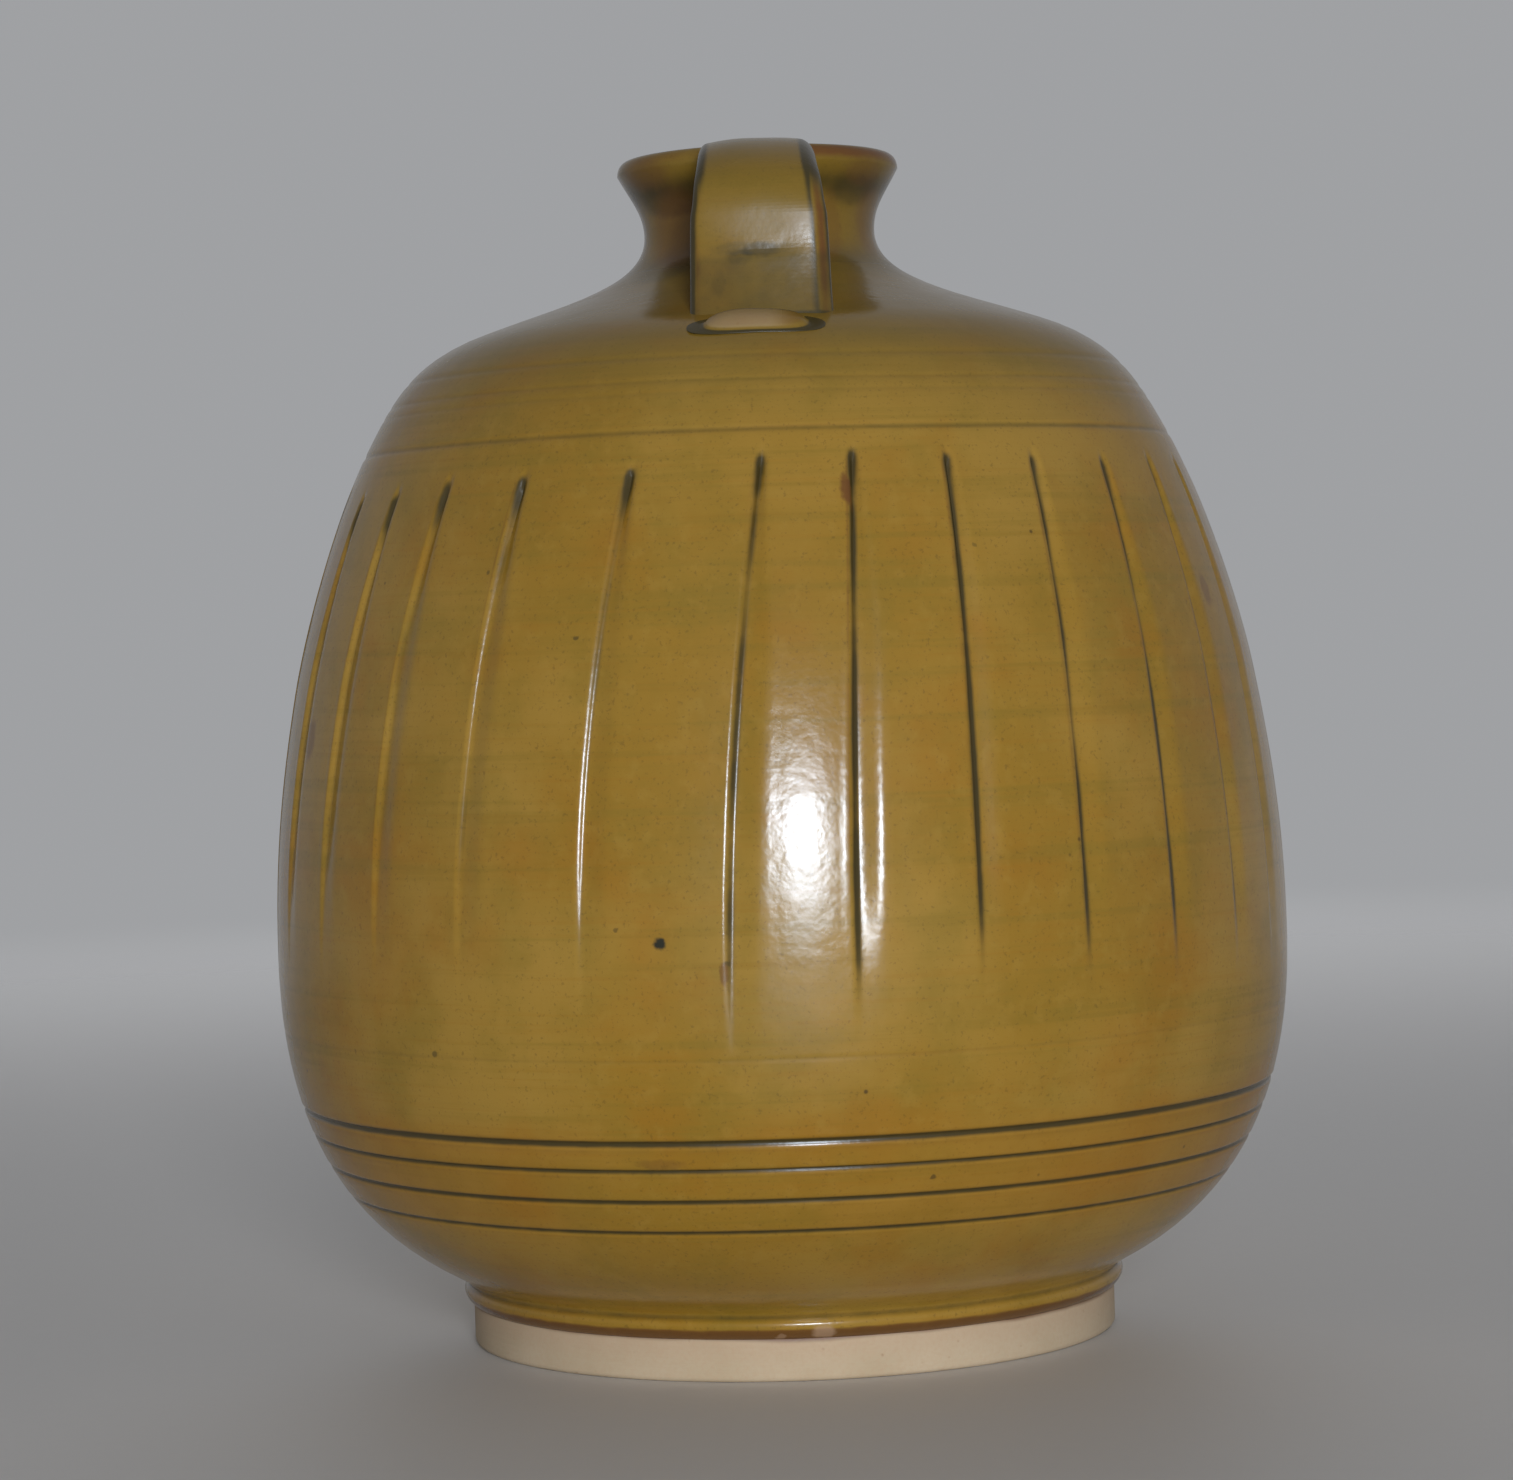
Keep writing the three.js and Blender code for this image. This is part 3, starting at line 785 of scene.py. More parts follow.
# The potter's hand on a strap, with the shares of its length over which each part comes and
# goes. The crease shows only where the strap leans out past CREASE_LEAN, in radians.
WIDTH_HAND = 0.02
STRAP_HAND = 0.2 * MM
STRAP_ROOM = 0.3 * MM
OUTER_SIDE = -0.6 * STRAP_THICKNESS
LIP_THINNING = 0.55
LIP_SMOOTHED = (0.1, 0.0)
LIP_DROP = 0.5 * MM
LIP_DROP_RUN = (0.16, 0.0)
FOOT_THICKENING = 0.15
FOOT_THICKENS = (0.85, 1.0)
FACE_CROWN = 0.85 * MM
STRAP_TWIST = math.radians(4)
TWIST_RUN = (0.3, 0.7)
CREASE_HEIGHT = 183.2 * MM
CREASE_SLOPE = 0.06
CREASE_SPREAD = 1.2 * MM
CREASE_DEPTH = 0.08 * MM
CREASE_ENDS = (9.5 * MM, 3 * MM)
CREASE_LEAN = 1.0

# Glaze on a strap: thin on the arrises and pooled in lines beside them, with painted shade over
# the pool along its sides and below its crease. Rows are strength, distance from the strap's right
# or left side and spread; runs are inward or up the strap.
FACE_RUN = (-3.2 * MM, -1.2 * MM)
RIGHT_THIN = [(0.85, 1.2 * MM, 0.85 * MM)]
LEFT_THIN = [(0.45, 1.3 * MM, 0.5 * MM)]
RIGHT_POOL_AND_SHADE = [(0.9, 0.0, 0.5 * MM)]
LEFT_POOL_AND_SHADE = [(0.9, 0.3 * MM, 0.7 * MM)]
INNER_LINE_PLACE = 2.7 * MM
INNER_LINE_SPREADS = (0.4 * MM, 0.7 * MM)
INNER_LINE_LEAST = 0.6
HIGH_RUN = (190 * MM, 199 * MM)
CORNER_POOL = 0.85
CORNER_SHIFT = 0.8 * MM
CORNER_RUN = (3.2 * MM, 1.8 * MM)
# The strap's face below its crease: pooled glaze with painted shade where the face turns down
CREASE_POOL_AND_SHADE = 0.36
CREASE_SHADE_RUN = (184.5 * MM, 181.5 * MM)
LIP_JOINT_RUN = (-1 * MM, -3 * MM)
FOOT_JOINT_POOL = 0.8
FOOT_JOINT_RUN = (0.965, 0.985)
FLANK_POOL = 0.35


def strap_path():
    """Places on the strap's outer face from the lip to the shoulder: radius, height, lean and
    width. The lean is 0 where the face looks up and a quarter turn where it looks out."""
    knee_start = STRAP_REACH - KNEE_REACH
    knee_height = HANDLE_TOP - KNEE_DROP
    path = []
    for step in range(LEVEL_STEPS):
        radius = blend(STRAP_START, knee_start, step / LEVEL_STEPS)
        path.append((radius, HANDLE_TOP, 0.0, STRAP_TOP_WIDTH))
    for step in range(KNEE_STEPS):
        angle = math.pi / 2 * step / KNEE_STEPS
        out, up = math.sin(angle), math.cos(angle)
        lean = math.atan2(KNEE_DROP * out, KNEE_REACH * up)
        width = blend(STRAP_KNEE_WIDTH, STRAP_TOP_WIDTH, up)
        path.append((knee_start + KNEE_REACH * out, knee_height + KNEE_DROP * up, lean, width))
    drop = knee_height - shoulder_height(STRAP_REACH + FOOT_FLARE)
    for step in range(DROP_STEPS + 1):
        share = DROP_OVERRUN * step / DROP_STEPS
        slope = 2 * FOOT_FLARE * share / drop
        radius = STRAP_REACH + FOOT_FLARE * share * share
        width = blend(STRAP_KNEE_WIDTH, HANDLE_WIDTH * FOOT_WIDTH_SHARE, min(share, 1))
        path.append((radius, knee_height - drop * share, math.pi / 2 - math.atan(slope), width))
    return path


def strap_section(bm):
    """The section, flat in X and Z: across the strap and inward from its outer face."""
    half = HANDLE_WIDTH / 2
    deep = -STRAP_THICKNESS
    corners = [(-half, 0.0), (half, 0.0), (half, deep), (-half, deep)]
    verts = [bm.verts.new((x, 0, z)) for x, z in corners]
    bm.faces.new(verts)
    for vert, radius in zip(verts, ARRIS_RADII):
        round_off(bm, [vert], radius, "VERTICES", ARRIS_SEGMENTS)
    long_edges = [edge for edge in bm.edges if edge.calc_length() > ARRIS_LONGEST]
    bmesh.ops.subdivide_edges(bm, edges=long_edges, cuts=SECTION_CUTS)


def strap_shape(across, inward, height, lean, width, share, side):
    """How the potter's hand left the strap: crowned, creased, turned a little to one side and
    thin where it was smoothed on to the lip."""
    width *= 1 + WIDTH_HAND * wander(20 + side, share * 6)
    outer = smoothstep(inward, OUTER_SIDE, 0.0)
    thick = 1 - LIP_THINNING * smoothstep(share, *LIP_SMOOTHED)
    thick += FOOT_THICKENING * smoothstep(share, *FOOT_THICKENS)
    crease = CREASE_DEPTH * hump(height - CREASE_HEIGHT - across * CREASE_SLOPE, CREASE_SPREAD)
    crease *= outer * smoothstep(abs(across), *CREASE_ENDS) * (lean > CREASE_LEAN)
    crown = FACE_CROWN * outer * (2 * across / HANDLE_WIDTH) ** 2
    uneven = STRAP_HAND * wander(22 + side, across * 110, height * 90, lean)
    drop = LIP_DROP * smoothstep(share, *LIP_DROP_RUN)
    twist = across * math.sin(STRAP_TWIST) * smoothstep(share, *TWIST_RUN)
    moved = inward * thick - crease - crown + uneven - drop + twist - STRAP_ROOM
    return across * width / HANDLE_WIDTH, moved


def strap_marks(across, inward, height, share, side):
    """How thin the glaze is on the strap's arrises, and how it pools beside them, with painted
    shade along its sides and below its crease.
    """
    right = HANDLE_WIDTH / 2 - across
    left = HANDLE_WIDTH / 2 + across
    face = smoothstep(inward, *FACE_RUN)
    patchy = 0.8 + 0.5 * wander(24 + side, share * 9, across * 90)
    thin = humps(right, RIGHT_THIN) + humps(left, LEFT_THIN)
    high = smoothstep(height, *HIGH_RUN)
    inner_line = hump(right - INNER_LINE_PLACE, blend(*INNER_LINE_SPREADS, high))
    inner_line *= blend(INNER_LINE_LEAST, 1.0, high)
    # Pooled glaze beside the edges, darkened further as painted shade on the strap's sides
    outer_pool_and_shade = humps(right, RIGHT_POOL_AND_SHADE) + humps(left, LEFT_POOL_AND_SHADE)
    corners = high * smoothstep(min(left + CORNER_SHIFT, right), *CORNER_RUN)
    pool = max(inner_line, outer_pool_and_shade, CORNER_POOL * corners) * face
    # Painted shade on the face below the crease, over pooled glaze
    below_crease_shade = CREASE_POOL_AND_SHADE * smoothstep(height, *CREASE_SHADE_RUN)
    lip_joint = smoothstep(share, *LIP_SMOOTHED) * smoothstep(inward, *LIP_JOINT_RUN)
    foot_joint = FOOT_JOINT_POOL * smoothstep(share, *FOOT_JOINT_RUN)
    flank = FLANK_POOL * (1 - face)
    return thin * face * patchy, max(pool, below_crease_shade, lip_joint, foot_joint, flank)


def make_strap(glaze, side, name, node):
    """A strap's section carried along its path. Side is 1 for the front and -1 for the rear."""
    bm = new_bmesh()
    across_layer = bm.verts.layers.float.new("across")
    inward_layer = bm.verts.layers.float.new("inward")
    thin_layer, pool_layer, _ = layers_of(bm)
    strap_section(bm)
    for vert in bm.verts:
        vert[across_layer] = vert.co.x
        vert[inward_layer] = vert.co.z
    path = strap_path()
    section = bm.faces[:]
    for index, (out, up, lean, width) in enumerate(path):
        if index:
            grown = bmesh.ops.extrude_face_region(bm, geom=section)["geom"]
            section = [item for item in grown if isinstance(item, bmesh.types.BMFace)]
        share = index / (len(path) - 1)
        for vert in {vert for face in section for vert in face.verts}:
            across, inward = vert[across_layer], vert[inward_layer]
            height = up + inward * math.cos(lean)
            x, depth = strap_shape(across, inward, height, lean, width, share, side)
            radius = out + depth * math.sin(lean)
            vert.co = (side * x, -side * radius, up + depth * math.cos(lean))
            marks = strap_marks(across, inward, height, share, side)
            vert[thin_layer], vert[pool_layer] = marks
    for layer in ("across", "inward"):
        bm.verts.layers.float.remove(bm.verts.layers.float[layer])
    dress(to_object(bm, name, HANDLE_CREASE), glaze, "glaze", node)


# Handle toes: a roll of clay pressed flat across the front of each strap's foot, in a dark rim
# that is pooled glaze and painted shadow under the toe

TOE_COLUMNS = 96
TOE_ROWS = 40
TOE_CROWN = 1.65 * MM
TOE_BULGE = 0.12 * MM
TOE_HAND = 0.12
TOE_SUNK = 0.8 * MM
TOE_CORE = 0.86
TOE_CORE_WIDTH = 16.6 * MM
TOE_SHIFT = -1.0 * MM
POOL_AND_SHADOW_RIM = 0.35 * MM
POOL_AND_SHADOW_RIM_ENDS = 2.9 * MM
POOL_AND_SHADOW_RIM_RUN = (TOE_CORE - 0.015, TOE_CORE + 0.02)

# Glaze on a toe: pooled behind it, thin on it, and on its left and middle a painted highlight in
# the pale colour of bare clay
BACK_POOL = 0.9
BACK_POOL_RUN = (-0.5 * MM, -1.3 * MM)
CORE_THIN = 0.42
CORE_THIN_RUN = (0.995, 0.9)
CORE_PAINTED_HIGHLIGHT = 0.36
CORE_HIGHLIGHT_RUN = (0.995, 0.94)
CORE_HIGHLIGHT_SIDES = (8.5 * MM, 1.5 * MM)


def toe_place(x, y):
    """A place in the toe's plan from one in a unit circle: across the strap, and forward."""
    reach = math.hypot(x, y)
    if reach < TINY:
        return 0.0, 0.0
    east, south = x / reach, -y / reach
    squared = (abs(east) ** 3 + abs(south) ** 3) ** (-1 / 3)
    core = min(reach / TOE_CORE, 1.0) * squared
    rim = max(reach - TOE_CORE, 0.0) / (1 - TOE_CORE)
    across = east * (core * TOE_CORE_WIDTH / 2 + rim * POOL_AND_SHADOW_RIM_ENDS)
    forward = south * (core * (TOE_FRONT - TOE_BACK) / 2 + rim * POOL_AND_SHADOW_RIM)
    return across, forward


def make_toe(glaze, side, name, node):
    """A toe, shaped from a sphere. Side is 1 for the front and -1 for the rear."""
    bm = new_bmesh()
    thin_layer, pool_layer, bare_layer = layers_of(bm)
    bmesh.ops.create_uvsphere(bm, u_segments=TOE_COLUMNS, v_segments=TOE_ROWS, radius=1.0)
    middle = (TOE_BACK + TOE_FRONT) / 2
    for vert in bm.verts:
        x, y, z = vert.co
        across, forward = toe_place(x, y)
        out = middle + forward
        reach = min(math.hypot(x, y) / TOE_CORE, 1.0)
        rise = TOE_CROWN * (1 - reach**3.2) ** 0.6 + TOE_BULGE * abs(z)
        rise *= 1 + TOE_HAND * wander(30 + side, across * 160, out * 160)
        ground = shoulder_height(math.hypot(across, out))
        height = ground + (rise if z > 0 else -TOE_SUNK * abs(z))
        vert.co = ((across + TOE_SHIFT) * side, -out * side, height)
        # The dark rim: pooled glaze and painted shadow under the toe, widest at its ends
        rim = smoothstep(math.hypot(x, y), *POOL_AND_SHADOW_RIM_RUN)
        # A painted highlight: pale clay colour on the toe's crown, on its left and middle
        painted_highlight = smoothstep(reach, *CORE_HIGHLIGHT_RUN) * smoothstep(across, *CORE_HIGHLIGHT_SIDES)
        vert[pool_layer] = max(rim, BACK_POOL * smoothstep(forward, *BACK_POOL_RUN))
        vert[thin_layer] = CORE_THIN * smoothstep(reach, *CORE_THIN_RUN)
        vert[bare_layer] = CORE_PAINTED_HIGHLIGHT * painted_highlight
    dress(to_object(bm, name, HANDLE_CREASE), glaze, "glaze", node)


# Shader maths

class Wire:
    """An output socket. Arithmetic on it adds Math nodes to its tree."""

    def __init__(self, nodes, socket):
        self.nodes = nodes
        self.socket = socket

    def maths(self, operation, first, second=0.0):
        return self.nodes.node("ShaderNodeMath", {"operation": operation}, {0: first, 1: second})

    def __add__(self, other):
        return self.maths("ADD", self, other)

    def __radd__(self, other):
        return self.maths("ADD", other, self)

    def __sub__(self, other):
        return self.maths("SUBTRACT", self, other)

    def __rsub__(self, other):
        return self.maths("SUBTRACT", other, self)

    def __mul__(self, other):
        return self.maths("MULTIPLY", self, other)

    def __rmul__(self, other):
        return self.maths("MULTIPLY", other, self)

    def larger(self, other):
        return self.maths("MAXIMUM", self, other)

    def smooth(self, low, high):
        """0 at low and 1 at high, with a soft run between."""
        return self.nodes.node(
            "ShaderNodeMapRange",
            {"interpolation_type": "SMOOTHSTEP"},
            {"Value": self, "From Min": low, "From Max": high},
        )


class Nodes:
    """A node tree being built, of a material or of the surround."""

    def __init__(self, tree, shader):
        self.tree = tree
        self.shader = tree.nodes[shader]

    def node(self, kind, settings=None, sockets=None, output=0):
        node = self.tree.nodes.new(kind)
        for name, value in (settings or {}).items():
            setattr(node, name, value)
        for name, value in (sockets or {}).items():
            self.feed(node.inputs[name], value)
        return Wire(self, node.outputs[output])

    def feed(self, socket, value):
        if isinstance(value, Wire):
            self.tree.links.new(value.socket, socket)
        elif socket.type == "RGBA" and len(value) == 3:
            socket.default_value = (*value, 1.0)
        else:
            socket.default_value = value

    def set(self, sockets):
        for name, value in sockets.items():
            self.feed(self.shader.inputs[name], value)

    def mix(self, factor, first, second):
        sockets = {0: factor, 6: first, 7: second}
        return self.node("ShaderNodeMix", {"data_type": "RGBA"}, sockets, output=2)

    def vector(self, operation, first, second):
        sockets = {0: first, 1: second}
        return self.node("ShaderNodeVectorMath", {"operation": operation}, sockets)


SPOT_CORE = 0.5


class Finish(Nodes):
    """A material built round one Principled shader, with patterns on Object coordinates."""

    def __init__(self, name):
        self.material = bpy.data.materials.new(name)
        self.material.use_nodes = True
        super().__init__(self.material.node_tree, "Principled BSDF")
        self.place = self.node("ShaderNodeTexCoord", output="Object")

    def length(self, place):
        return self.node("ShaderNodeVectorMath", {"operation": "LENGTH"}, {0: place}, "Value")

    def stretched(self, scale):
        return self.vector("MULTIPLY", self.place, scale)

    def noise(self, place, scale, detail=2.0, roughness=0.5, output=0):
        sockets = {"Vector": place, "Scale": scale, "Detail": detail, "Roughness": roughness}
        return self.node("ShaderNodeTexNoise", sockets=sockets, output=output)

    def cells(self, scale):
        """The distance from the middle of the nearest cell, in cells of about 1 / scale."""
        sockets = {"Vector": self.place, "Scale": scale}
        return self.node("ShaderNodeTexVoronoi", sockets=sockets, output="Distance")

    def mark(self, name):
        return self.node("ShaderNodeAttribute", {"attribute_name": name}, output="Fac")

    def axis(self, index):
        return self.node("ShaderNodeSeparateXYZ", sockets={0: self.place}, output=index)

    def bump(self, height, distance, strength):
        sockets = {"Height": height, "Distance": distance, "Strength": strength}
        return self.node("ShaderNodeBump", sockets=sockets)

    def spots(self, spots, wobble):
        """Soft-edged spots at chosen places: centre, reach along each axis and strength."""
        mask = None
        for centre, reach, strength in spots:
            offset = self.vector("SUBTRACT", wobble, centre)
            share = self.vector("DIVIDE", offset, reach)
            spot = strength * (1 - self.length(share).smooth(SPOT_CORE, 1.0))
            mask = spot if mask is None else mask + spot
        return mask


def on_wall(azimuth, height):
    """A place on the plain wall, from degrees round from the front handle and a height."""
    radius = outline_at(length_at_height(height))[0].x
    angle = math.radians(azimuth)
    return (radius * math.sin(angle), -radius * math.cos(angle), height)


# Colours, as the glaze and clay look under plain light
OCHRE = (0.285, 0.162, 0.019)
PALE_OCHRE = (0.335, 0.202, 0.035)
OLIVE_OCHRE = (0.215, 0.142, 0.018)
ORANGE_OCHRE = (0.300, 0.138, 0.012)
POOLED_OLIVE = (0.041, 0.033, 0.012)
RUST = (0.130, 0.050, 0.015)
SPECK_BROWN = (0.045, 0.026, 0.012)
IRON_BLACK = (0.022, 0.022, 0.014)
BUFF = (0.455, 0.363, 0.242)
PALE_BUFF = (0.515, 0.420, 0.295)
PINK_BUFF = (0.468, 0.318, 0.206)
GROG_BROWN = (0.300, 0.190, 0.110)

# Iron specks that the kiln left: degrees round, height and size in millimetres, and strength
IRON_SPECKS = [
    (-12.6, 73.6, 1.25, 1.0),
    (-5.6, 70.4, 0.7, 0.7),
    (-17.1, 76.0, 0.5, 0.5),
    (-40.0, 56.0, 0.7, 0.55),
    (-22.2, 121.2, 0.55, 0.6),
    (-35.2, 132.2, 0.5, 0.5),
    (16.0, 35.4, 0.6, 0.6),
    (24.6, 133.8, 0.5, 0.4),
    (141.0, 92.0, 0.9, 0.9),
    (-128.0, 118.0, 0.7, 0.7),
    (176.0, 61.0, 1.0, 0.9),
    (108.0, 135.0, 0.6, 0.6),
]

# Rust stains: degrees round, height, width and reach up and down in millimetres, and strength
RUST_STAINS = [
    (9.6, 143.5, 1.3, 5.5, 0.85),
    (-67.0, 106.0, 3.0, 4.5, 0.6),
    (64.5, 126.0, 2.2, 4.0, 0.5),
    (-6.0, 68.8, 0.8, 2.2, 0.6),
    (-14.0, 38.9, 5.0, 1.1, 0.35),
    (122.0, 82.0, 2.5, 4.0, 0.5),
    (-150.0, 128.0, 1.6, 5.0, 0.5),
]

# Marks off the wall: centre and reach in millimetres, and strength
# Dark olive at and below the straps' creases: pooled glaze with painted shade
STRAP_CREASE_POOL_AND_SHADE = [
    ((-1.2, -50, 183.5), (9.5, 6, 1.6), 0.32),
    ((0.2, -50, 183.2), (4.0, 6, 1.7), 0.36),
    ((-3.4, -50, 182.3), (2.8, 6, 1.8), 0.34),
    ((-6.8, -50, 178.0), (1.5, 6, 3.0), 0.22),
    ((1.5, 50, 182.0), (5.0, 6, 1.4), 0.45),
]
# Rust stains on the neck and lip; the two beside the front strap, at -14 and 12 mm across, are
# painted shade
NECK_STAINS_AND_SHADE = [
    ((-14, -15, 190), (7, 11, 10), 0.5),
    ((12, -16, 189), (2.6, 8, 9), 0.3),
    ((19, -8, 191), (3.5, 8, 8), 0.35),
    ((18, -14, 199), (5, 7, 3), 0.3),
    ((-20, -13, 200), (9, 9, 3.6), 0.4),
    ((-9, 19, 192), (6, 7, 6), 0.3),
]
# Pooled olive under the lip and at the neck's foot, darkened as painted shade under the lip and as
# the front strap's painted shadow on the neck's left; the one at 187 mm is painted shadow only
NECK_POOLS_AND_SHADOW = [
    ((-15, -14, 195), (9, 11, 3.4), 0.6),
    ((-12, -18, 187), (6, 9, 9), 0.4),
    ((16, -14, 196), (6, 9, 3.2), 0.45),
    ((-17, -18, 183), (7, 9, 4), 0.3),
]
ROLL_GAPS = [
    ((4.6, -57, 8.1), (2.4, 4, 1.7), 0.5),
    ((-2.4, -57, 7.4), (1.2, 4, 0.6), 0.3),
]
STRAP_SATIN = [
    ((0, -50, 192), (16, 16, 10), 1.0),
    ((0, 50, 192), (16, 16, 10), 1.0),
]

# Where painted shade darkens the glaze on the shoulder, where the incised band begins and ends,
# how far the edges of marks shake, and the depth and strength of the fine relief
SHOULDER_PAINTED_SHADE = (150 * MM, 172 * MM)
BAND_BOTTOM = (22 * MM, 30 * MM)
BAND_TOP = (42 * MM, 47 * MM)
MARK_SHAKE = 1.2 * MM
GLAZE_RELIEF = (0.11 * MM, 0.6)
CLAY_RELIEF = (0.12 * MM, 0.7)

# The clay's rusty edge against the glaze, and the flush below it
EDGE_SHAKE = 1.4 * MM
RUSTY_EDGE = (FOOT_TOP, FOOT_HEIGHT + 1.1 * MM)
FLUSH = (FOOT_HEIGHT - 4.5 * MM, FOOT_HEIGHT)


def metres(spots):
    return [
        (tuple(axis * MM for axis in centre), tuple(axis * MM for axis in reach), strength)
        for centre, reach, strength in spots
    ]


def wall_spots(spots):
    """Places, reaches and strengths of round specks on the wall."""
    return [
        (on_wall(azimuth, height * MM), (size * MM,) * 3, strength)
        for azimuth, height, size, strength in spots
    ]


def wall_stains(stains):
    return [
        (on_wall(azimuth, height * MM), (width * MM, width * MM, tall * MM), strength)
        for azimuth, height, width, tall, strength in stains
    ]


def clay_surface(finish):
    """Colour, roughness and relief of the bare buff clay."""
    grain = finish.noise(finish.place, 1400, 3.0, 0.6)
    cloud = finish.noise(finish.place, 55, 3.0)
    turned = finish.noise(finish.stretched((40, 40, 1500)), 1.0, 2.0)
    shown = finish.noise(finish.place, 300, 1.0).smooth(0.56, 0.66)
    grog = (1 - finish.cells(520).smooth(0.06, 0.2)) * shown
    colour = finish.mix(cloud.smooth(0.3, 0.7), BUFF, PALE_BUFF)
    colour = finish.mix(grain.smooth(0.35, 0.75) * 0.3, colour, PINK_BUFF)
    colour = finish.mix(grog * 0.5, colour, GROG_BROWN)
    return colour, 0.82 + grain * 0.12, grain * 0.5 + turned * 0.7 - grog * 0.4


def glaze_surface(finish):
    """Colour, roughness and relief of the ochre ash glaze."""
    height = finish.axis(2)
    broad = finish.noise(finish.place, 22, 2.0)
    cloud = finish.noise(finish.place, 75, 4.0, 0.6)
    warm = finish.noise(finish.vector("ADD", finish.place, (3.1, 1.7, 0.4)), 48, 3.0, 0.55)
    thrown = finish.noise(finish.stretched((9, 9, 420)), 1.0, 4.0, 0.62)
    brushed = finish.noise(finish.stretched((30, 30, 1300)), 1.0, 3.0, 0.6)
    mottle = finish.noise(finish.place, 330, 3.0, 0.6)
    fleck = finish.noise(finish.place, 1700, 2.0, 0.6)
    shoulder = height.smooth(*SHOULDER_PAINTED_SHADE)
    band = height.smooth(*BAND_BOTTOM) * (1 - height.smooth(*BAND_TOP))

    colour = finish.mix(broad.smooth(0.38, 0.62), OCHRE, PALE_OCHRE)
    for mask, tint in (
        (cloud.smooth(0.42, 0.7) * 0.48, OLIVE_OCHRE),
        (warm.smooth(0.48, 0.72) * 0.55, ORANGE_OCHRE),
        (thrown.smooth(0.5, 0.68) * 0.42, OLIVE_OCHRE),
        (brushed.smooth(0.52, 0.7) * 0.22, ORANGE_OCHRE),
        (mottle.smooth(0.5, 0.7) * 0.34, PALE_OCHRE),
        (fleck.smooth(0.58, 0.72) * 0.28, SPECK_BROWN),
        # Painted shade: the shoulder darker olive, where less light falls
        (shoulder * 0.45, OLIVE_OCHRE),
        (shoulder * 0.25, POOLED_OLIVE),
        (band * broad.smooth(0.35, 0.6) * 0.45, ORANGE_OCHRE),
    ):
        colour = finish.mix(mask, colour, tint)

    ragged = finish.noise(finish.place, 700, output="Color")
    shake = finish.vector("SUBTRACT", ragged, (0.5,) * 3)
    shake = finish.vector("MULTIPLY", shake, (MARK_SHAKE,) * 3)
    wobble = finish.vector("ADD", finish.place, shake)
    uneven = finish.noise(finish.place, 260, 2.0)
    thin = (finish.mark("thin") * (0.45 + uneven)).smooth(0.12, 0.85)
    pool = (finish.mark("pool") * (0.7 + 0.6 * uneven)).smooth(0.04, 0.72)
    # Pooled olive on the straps and neck, darkened further as painted shade below the straps'
    # creases and as the front strap's painted shadow on the neck
    pools_and_painted_shade = metres(STRAP_CREASE_POOL_AND_SHADE + NECK_POOLS_AND_SHADOW)
    # The neck's stains include painted shade beside the front strap
    stains = wall_stains(RUST_STAINS) + metres(NECK_STAINS_AND_SHADE)
    iron = 1 - finish.cells(150).smooth(0.03, 0.075)
    rare = finish.noise(finish.place, 90, 1.0).smooth(0.6, 0.66)
    for mask, tint in (
        (thin * 0.85, RUST),
        (pool * 0.94, POOLED_OLIVE),
        (finish.spots(pools_and_painted_shade, wobble), POOLED_OLIVE),
        (finish.spots(stains, wobble), RUST),
        (finish.spots(metres(ROLL_GAPS), wobble), PINK_BUFF),
        (iron * rare * 0.75, SPECK_BROWN),
        (finish.spots(wall_spots(IRON_SPECKS), wobble), IRON_BLACK),
    ):
        colour = finish.mix(mask, colour, tint)

    satin = finish.spots(metres(STRAP_SATIN), finish.place)
    roughness = 0.14 + mottle * 0.06 + cloud.smooth(0.5, 0.8) * 0.05 + pool * 0.06 + satin * 0.2
    relief = thrown * 0.12
    for scale, share in ((330, 0.55), (95, 0.5), (950, 0.32)):
        relief = relief + finish.noise(finish.place, scale, 1.0) * share
    return colour, roughness, relief


def make_glaze():
    """The glaze, with the clay's own surface wherever the bare mark lets it show. On the toes the
    bare mark is a painted highlight.
    """
    finish = Finish("ochre_ash_glaze")
    colour, roughness, relief = glaze_surface(finish)
    bare = finish.mark("bare").smooth(0.0, 1.0)
    clay_colour, clay_roughness, clay_relief = clay_surface(finish)
    relief = bare * clay_relief + (1 - bare) * relief
    finish.set(
        {
            "Base Color": finish.mix(bare, colour, clay_colour),
            "Roughness": bare * clay_roughness + (1 - bare) * roughness,
            "Normal": finish.bump(relief, *GLAZE_RELIEF),
            "IOR": 1.5,
            "Specular IOR Level": 0.24,
            "Coat Weight": 0.1,
            "Coat Roughness": 0.42,
        }
    )
    return finish.material


def make_clay():
    finish = Finish("bare_buff_clay")
    colour, roughness, relief = clay_surface(finish)
    height = finish.axis(2) + finish.noise(finish.place, 60, 2.0) * EDGE_SHAKE
    edge = height.smooth(*RUSTY_EDGE)
    colour = finish.mix(height.smooth(*FLUSH) * 0.35, colour, PINK_BUFF)
    colour = finish.mix(edge * 0.9, colour, RUST)
    finish.set(
        {
            "Base Color": colour,
            "Roughness": roughness - edge * 0.45,
            "Normal": finish.bump(relief, *CLAY_RELIEF),
        }
    )
    return finish.material


# Stage: a pale floor that fades into the pale surround, soft lamps and the camera

FLOOR_RADIUS = 1.4
FLOOR_SEGMENTS = 128
FLOOR_INSET = 0.6
FLOOR_FADE = (0.35, 1.25)
SURROUND = (0.350, 0.356, 0.368)
FLOOR_COLOUR = (0.64, 0.64, 0.65)
WORLD_LIGHT = 0.10
WHITE = (1.0, 1.0, 1.0)
COOL_WHITE = (0.86, 0.97, 1.12)

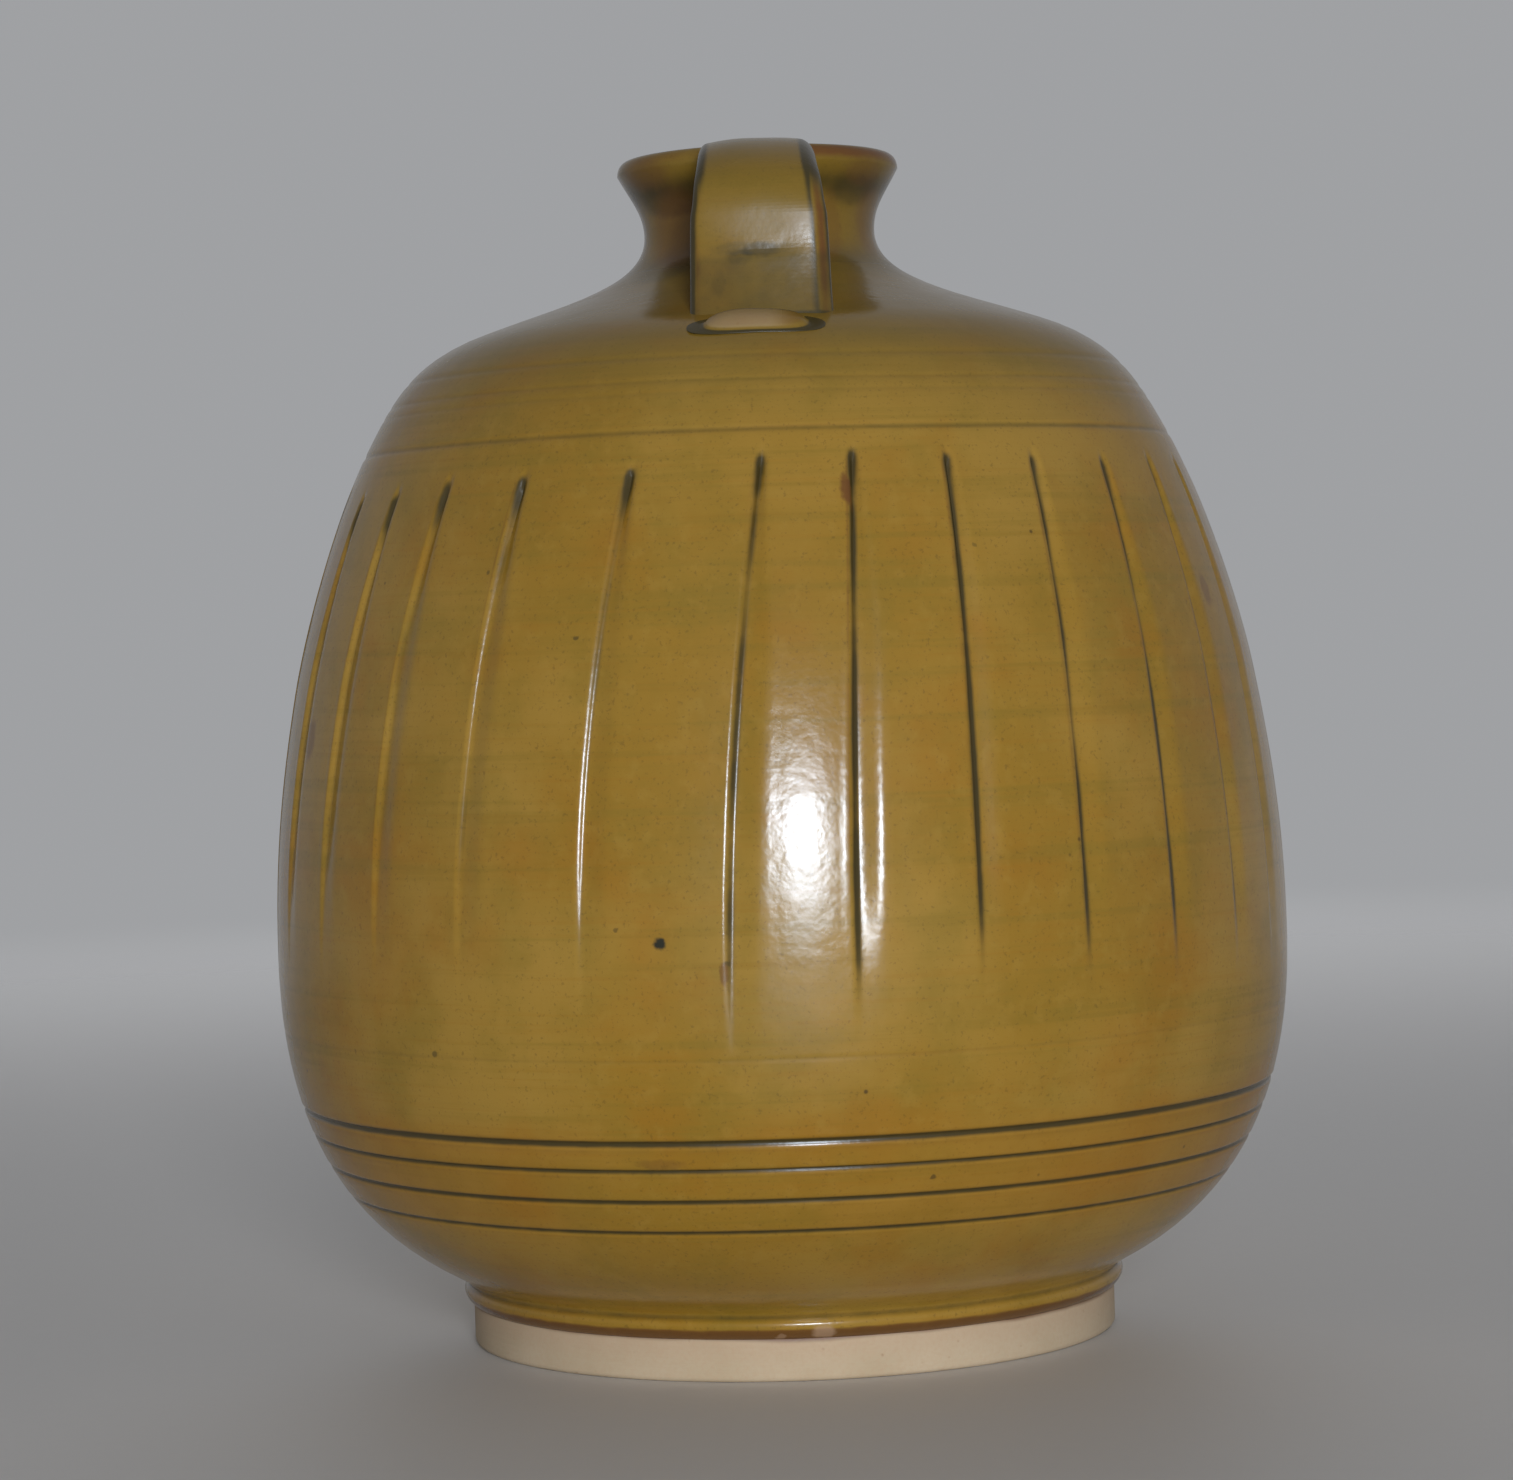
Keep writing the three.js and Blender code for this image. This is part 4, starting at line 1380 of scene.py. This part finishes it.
# Lamps: name, place, target, size, radiance, colour, and whether it lights and shows in the
# gloss. The first four stand for one window-shaped lamp: its light, its patch in the gloss and
# the patch's two bright cores. The last lights the back.
AIM_HEIGHT = 95 * MM
FRONT = (0.0, -BELLY_RADIUS, AIM_HEIGHT)
BACK = (0.0, BELLY_RADIUS, AIM_HEIGHT)
WINDOW = (0.144, -1.650, 0.304)
LAMPS = [
    ("key", WINDOW, FRONT, (0.33, 0.48), 42.0, WHITE, True, False),
    ("key_shine", WINDOW, FRONT, (0.255, 0.43), 46.0, COOL_WHITE, False, True),
    ("key_core", (0.132, -1.590, 0.334), FRONT, (0.17, 0.13), 100.0, COOL_WHITE, False, True),
    ("key_low", (0.132, -1.590, 0.196), FRONT, (0.12, 0.05), 55.0, COOL_WHITE, False, True),
    ("back_fill", (0.0, 1.5, 0.35), BACK, (1.0, 0.8), 4.4, WHITE, True, False),
]


def make_floor():
    bm = bmesh.new()
    bmesh.ops.create_circle(bm, cap_ends=True, segments=FLOOR_SEGMENTS, radius=FLOOR_RADIUS)
    bmesh.ops.inset_region(bm, faces=bm.faces[:], thickness=FLOOR_RADIUS * FLOOR_INSET)
    bm.normal_update()
    mesh = bpy.data.meshes.new("floor")
    bm.to_mesh(mesh)
    bm.free()
    floor = bpy.data.objects.new("floor", mesh)
    bpy.context.scene.collection.objects.link(floor)
    finish = Finish("pale_floor")
    grain = finish.noise(finish.place, 240, 2.0)
    finish.set({"Base Color": FLOOR_COLOUR, "Roughness": 0.55 + grain * 0.1})
    shown = finish.node(
        "ShaderNodeMixShader",
        sockets={
            0: finish.length(finish.place).smooth(*FLOOR_FADE),
            1: Wire(finish, finish.shader.outputs[0]),
            2: finish.node("ShaderNodeBsdfTransparent"),
        },
    )
    output = finish.tree.nodes["Material Output"]
    finish.tree.links.new(shown.socket, output.inputs["Surface"])
    mesh.materials.append(finish.material)


def make_world():
    """A pale surround that the camera and the gloss see, and a dimmer one that lights."""
    world = bpy.data.worlds.new("surround")
    bpy.context.scene.world = world
    world.use_nodes = True
    nodes = Nodes(world.node_tree, "Background")
    camera_ray, glossy_ray, through_ray = (
        nodes.node("ShaderNodeLightPath", output=f"Is {kind} Ray")
        for kind in ("Camera", "Glossy", "Transmission")
    )
    seen = camera_ray.larger(glossy_ray).larger(through_ray)
    nodes.set({"Color": nodes.mix(seen, (WORLD_LIGHT,) * 3, SURROUND)})


def make_lamp(name, place, target, size, radiance, colour, lights, mirrored):
    """An area lamp of an even radiance, facing the target."""
    data = bpy.data.lights.new(name, "AREA")
    data.shape = "RECTANGLE"
    data.size, data.size_y = size
    data.energy = radiance * math.pi * data.size * data.size_y
    data.color = colour
    lamp = bpy.data.objects.new(name, data)
    lamp.location = place
    lamp.rotation_euler = (Vector(target) - Vector(place)).to_track_quat("-Z", "Y").to_euler()
    lamp.visible_camera = False
    lamp.visible_diffuse = lights
    lamp.visible_glossy = mirrored
    bpy.context.scene.collection.objects.link(lamp)


# Camera: a long lens level with the belly, a little rolled, as the photograph was taken
IMAGE_WIDTH = 1513
FOCAL_PIXELS = 4240
SENSOR_WIDTH = 36
CAMERA_DISTANCE = 0.738
CAMERA_HEIGHT = 0.120
CAMERA_YAW = 0.263
CAMERA_PITCH = 1.35
CAMERA_ROLL = 1.9
NEAREST_SEEN = 0.01


def make_camera():
    data = bpy.data.cameras.new("camera")
    data.sensor_width = SENSOR_WIDTH
    data.lens = SENSOR_WIDTH * FOCAL_PIXELS / IMAGE_WIDTH
    data.clip_start = NEAREST_SEEN
    camera = bpy.data.objects.new("camera", data)
    turn = Matrix.Rotation(math.radians(CAMERA_YAW), 4, "Z")
    tilt = Matrix.Rotation(math.radians(90 - CAMERA_PITCH), 4, "X")
    roll = Matrix.Rotation(math.radians(-CAMERA_ROLL), 4, "Z")
    camera.matrix_world = (
        Matrix.Translation((0, -CAMERA_DISTANCE, CAMERA_HEIGHT)) @ turn @ tilt @ roll
    )
    bpy.context.scene.collection.objects.link(camera)
    bpy.context.scene.camera = camera


bpy.context.scene.view_settings.view_transform = "Standard"
make_camera()
make_world()
make_floor()
for lamp in LAMPS:
    make_lamp(*lamp)

glaze_material = make_glaze()
clay_material = make_clay()
make_foot(clay_material)
make_body(glaze_material)
make_neck(glaze_material)
for handle_side, word in ((1, "front"), (-1, "rear")):
    make_strap(glaze_material, handle_side, f"{word}_strap", f"{word}_handle")
    make_toe(glaze_material, handle_side, f"{word}_strap_toe", f"{word}_handle_toe")
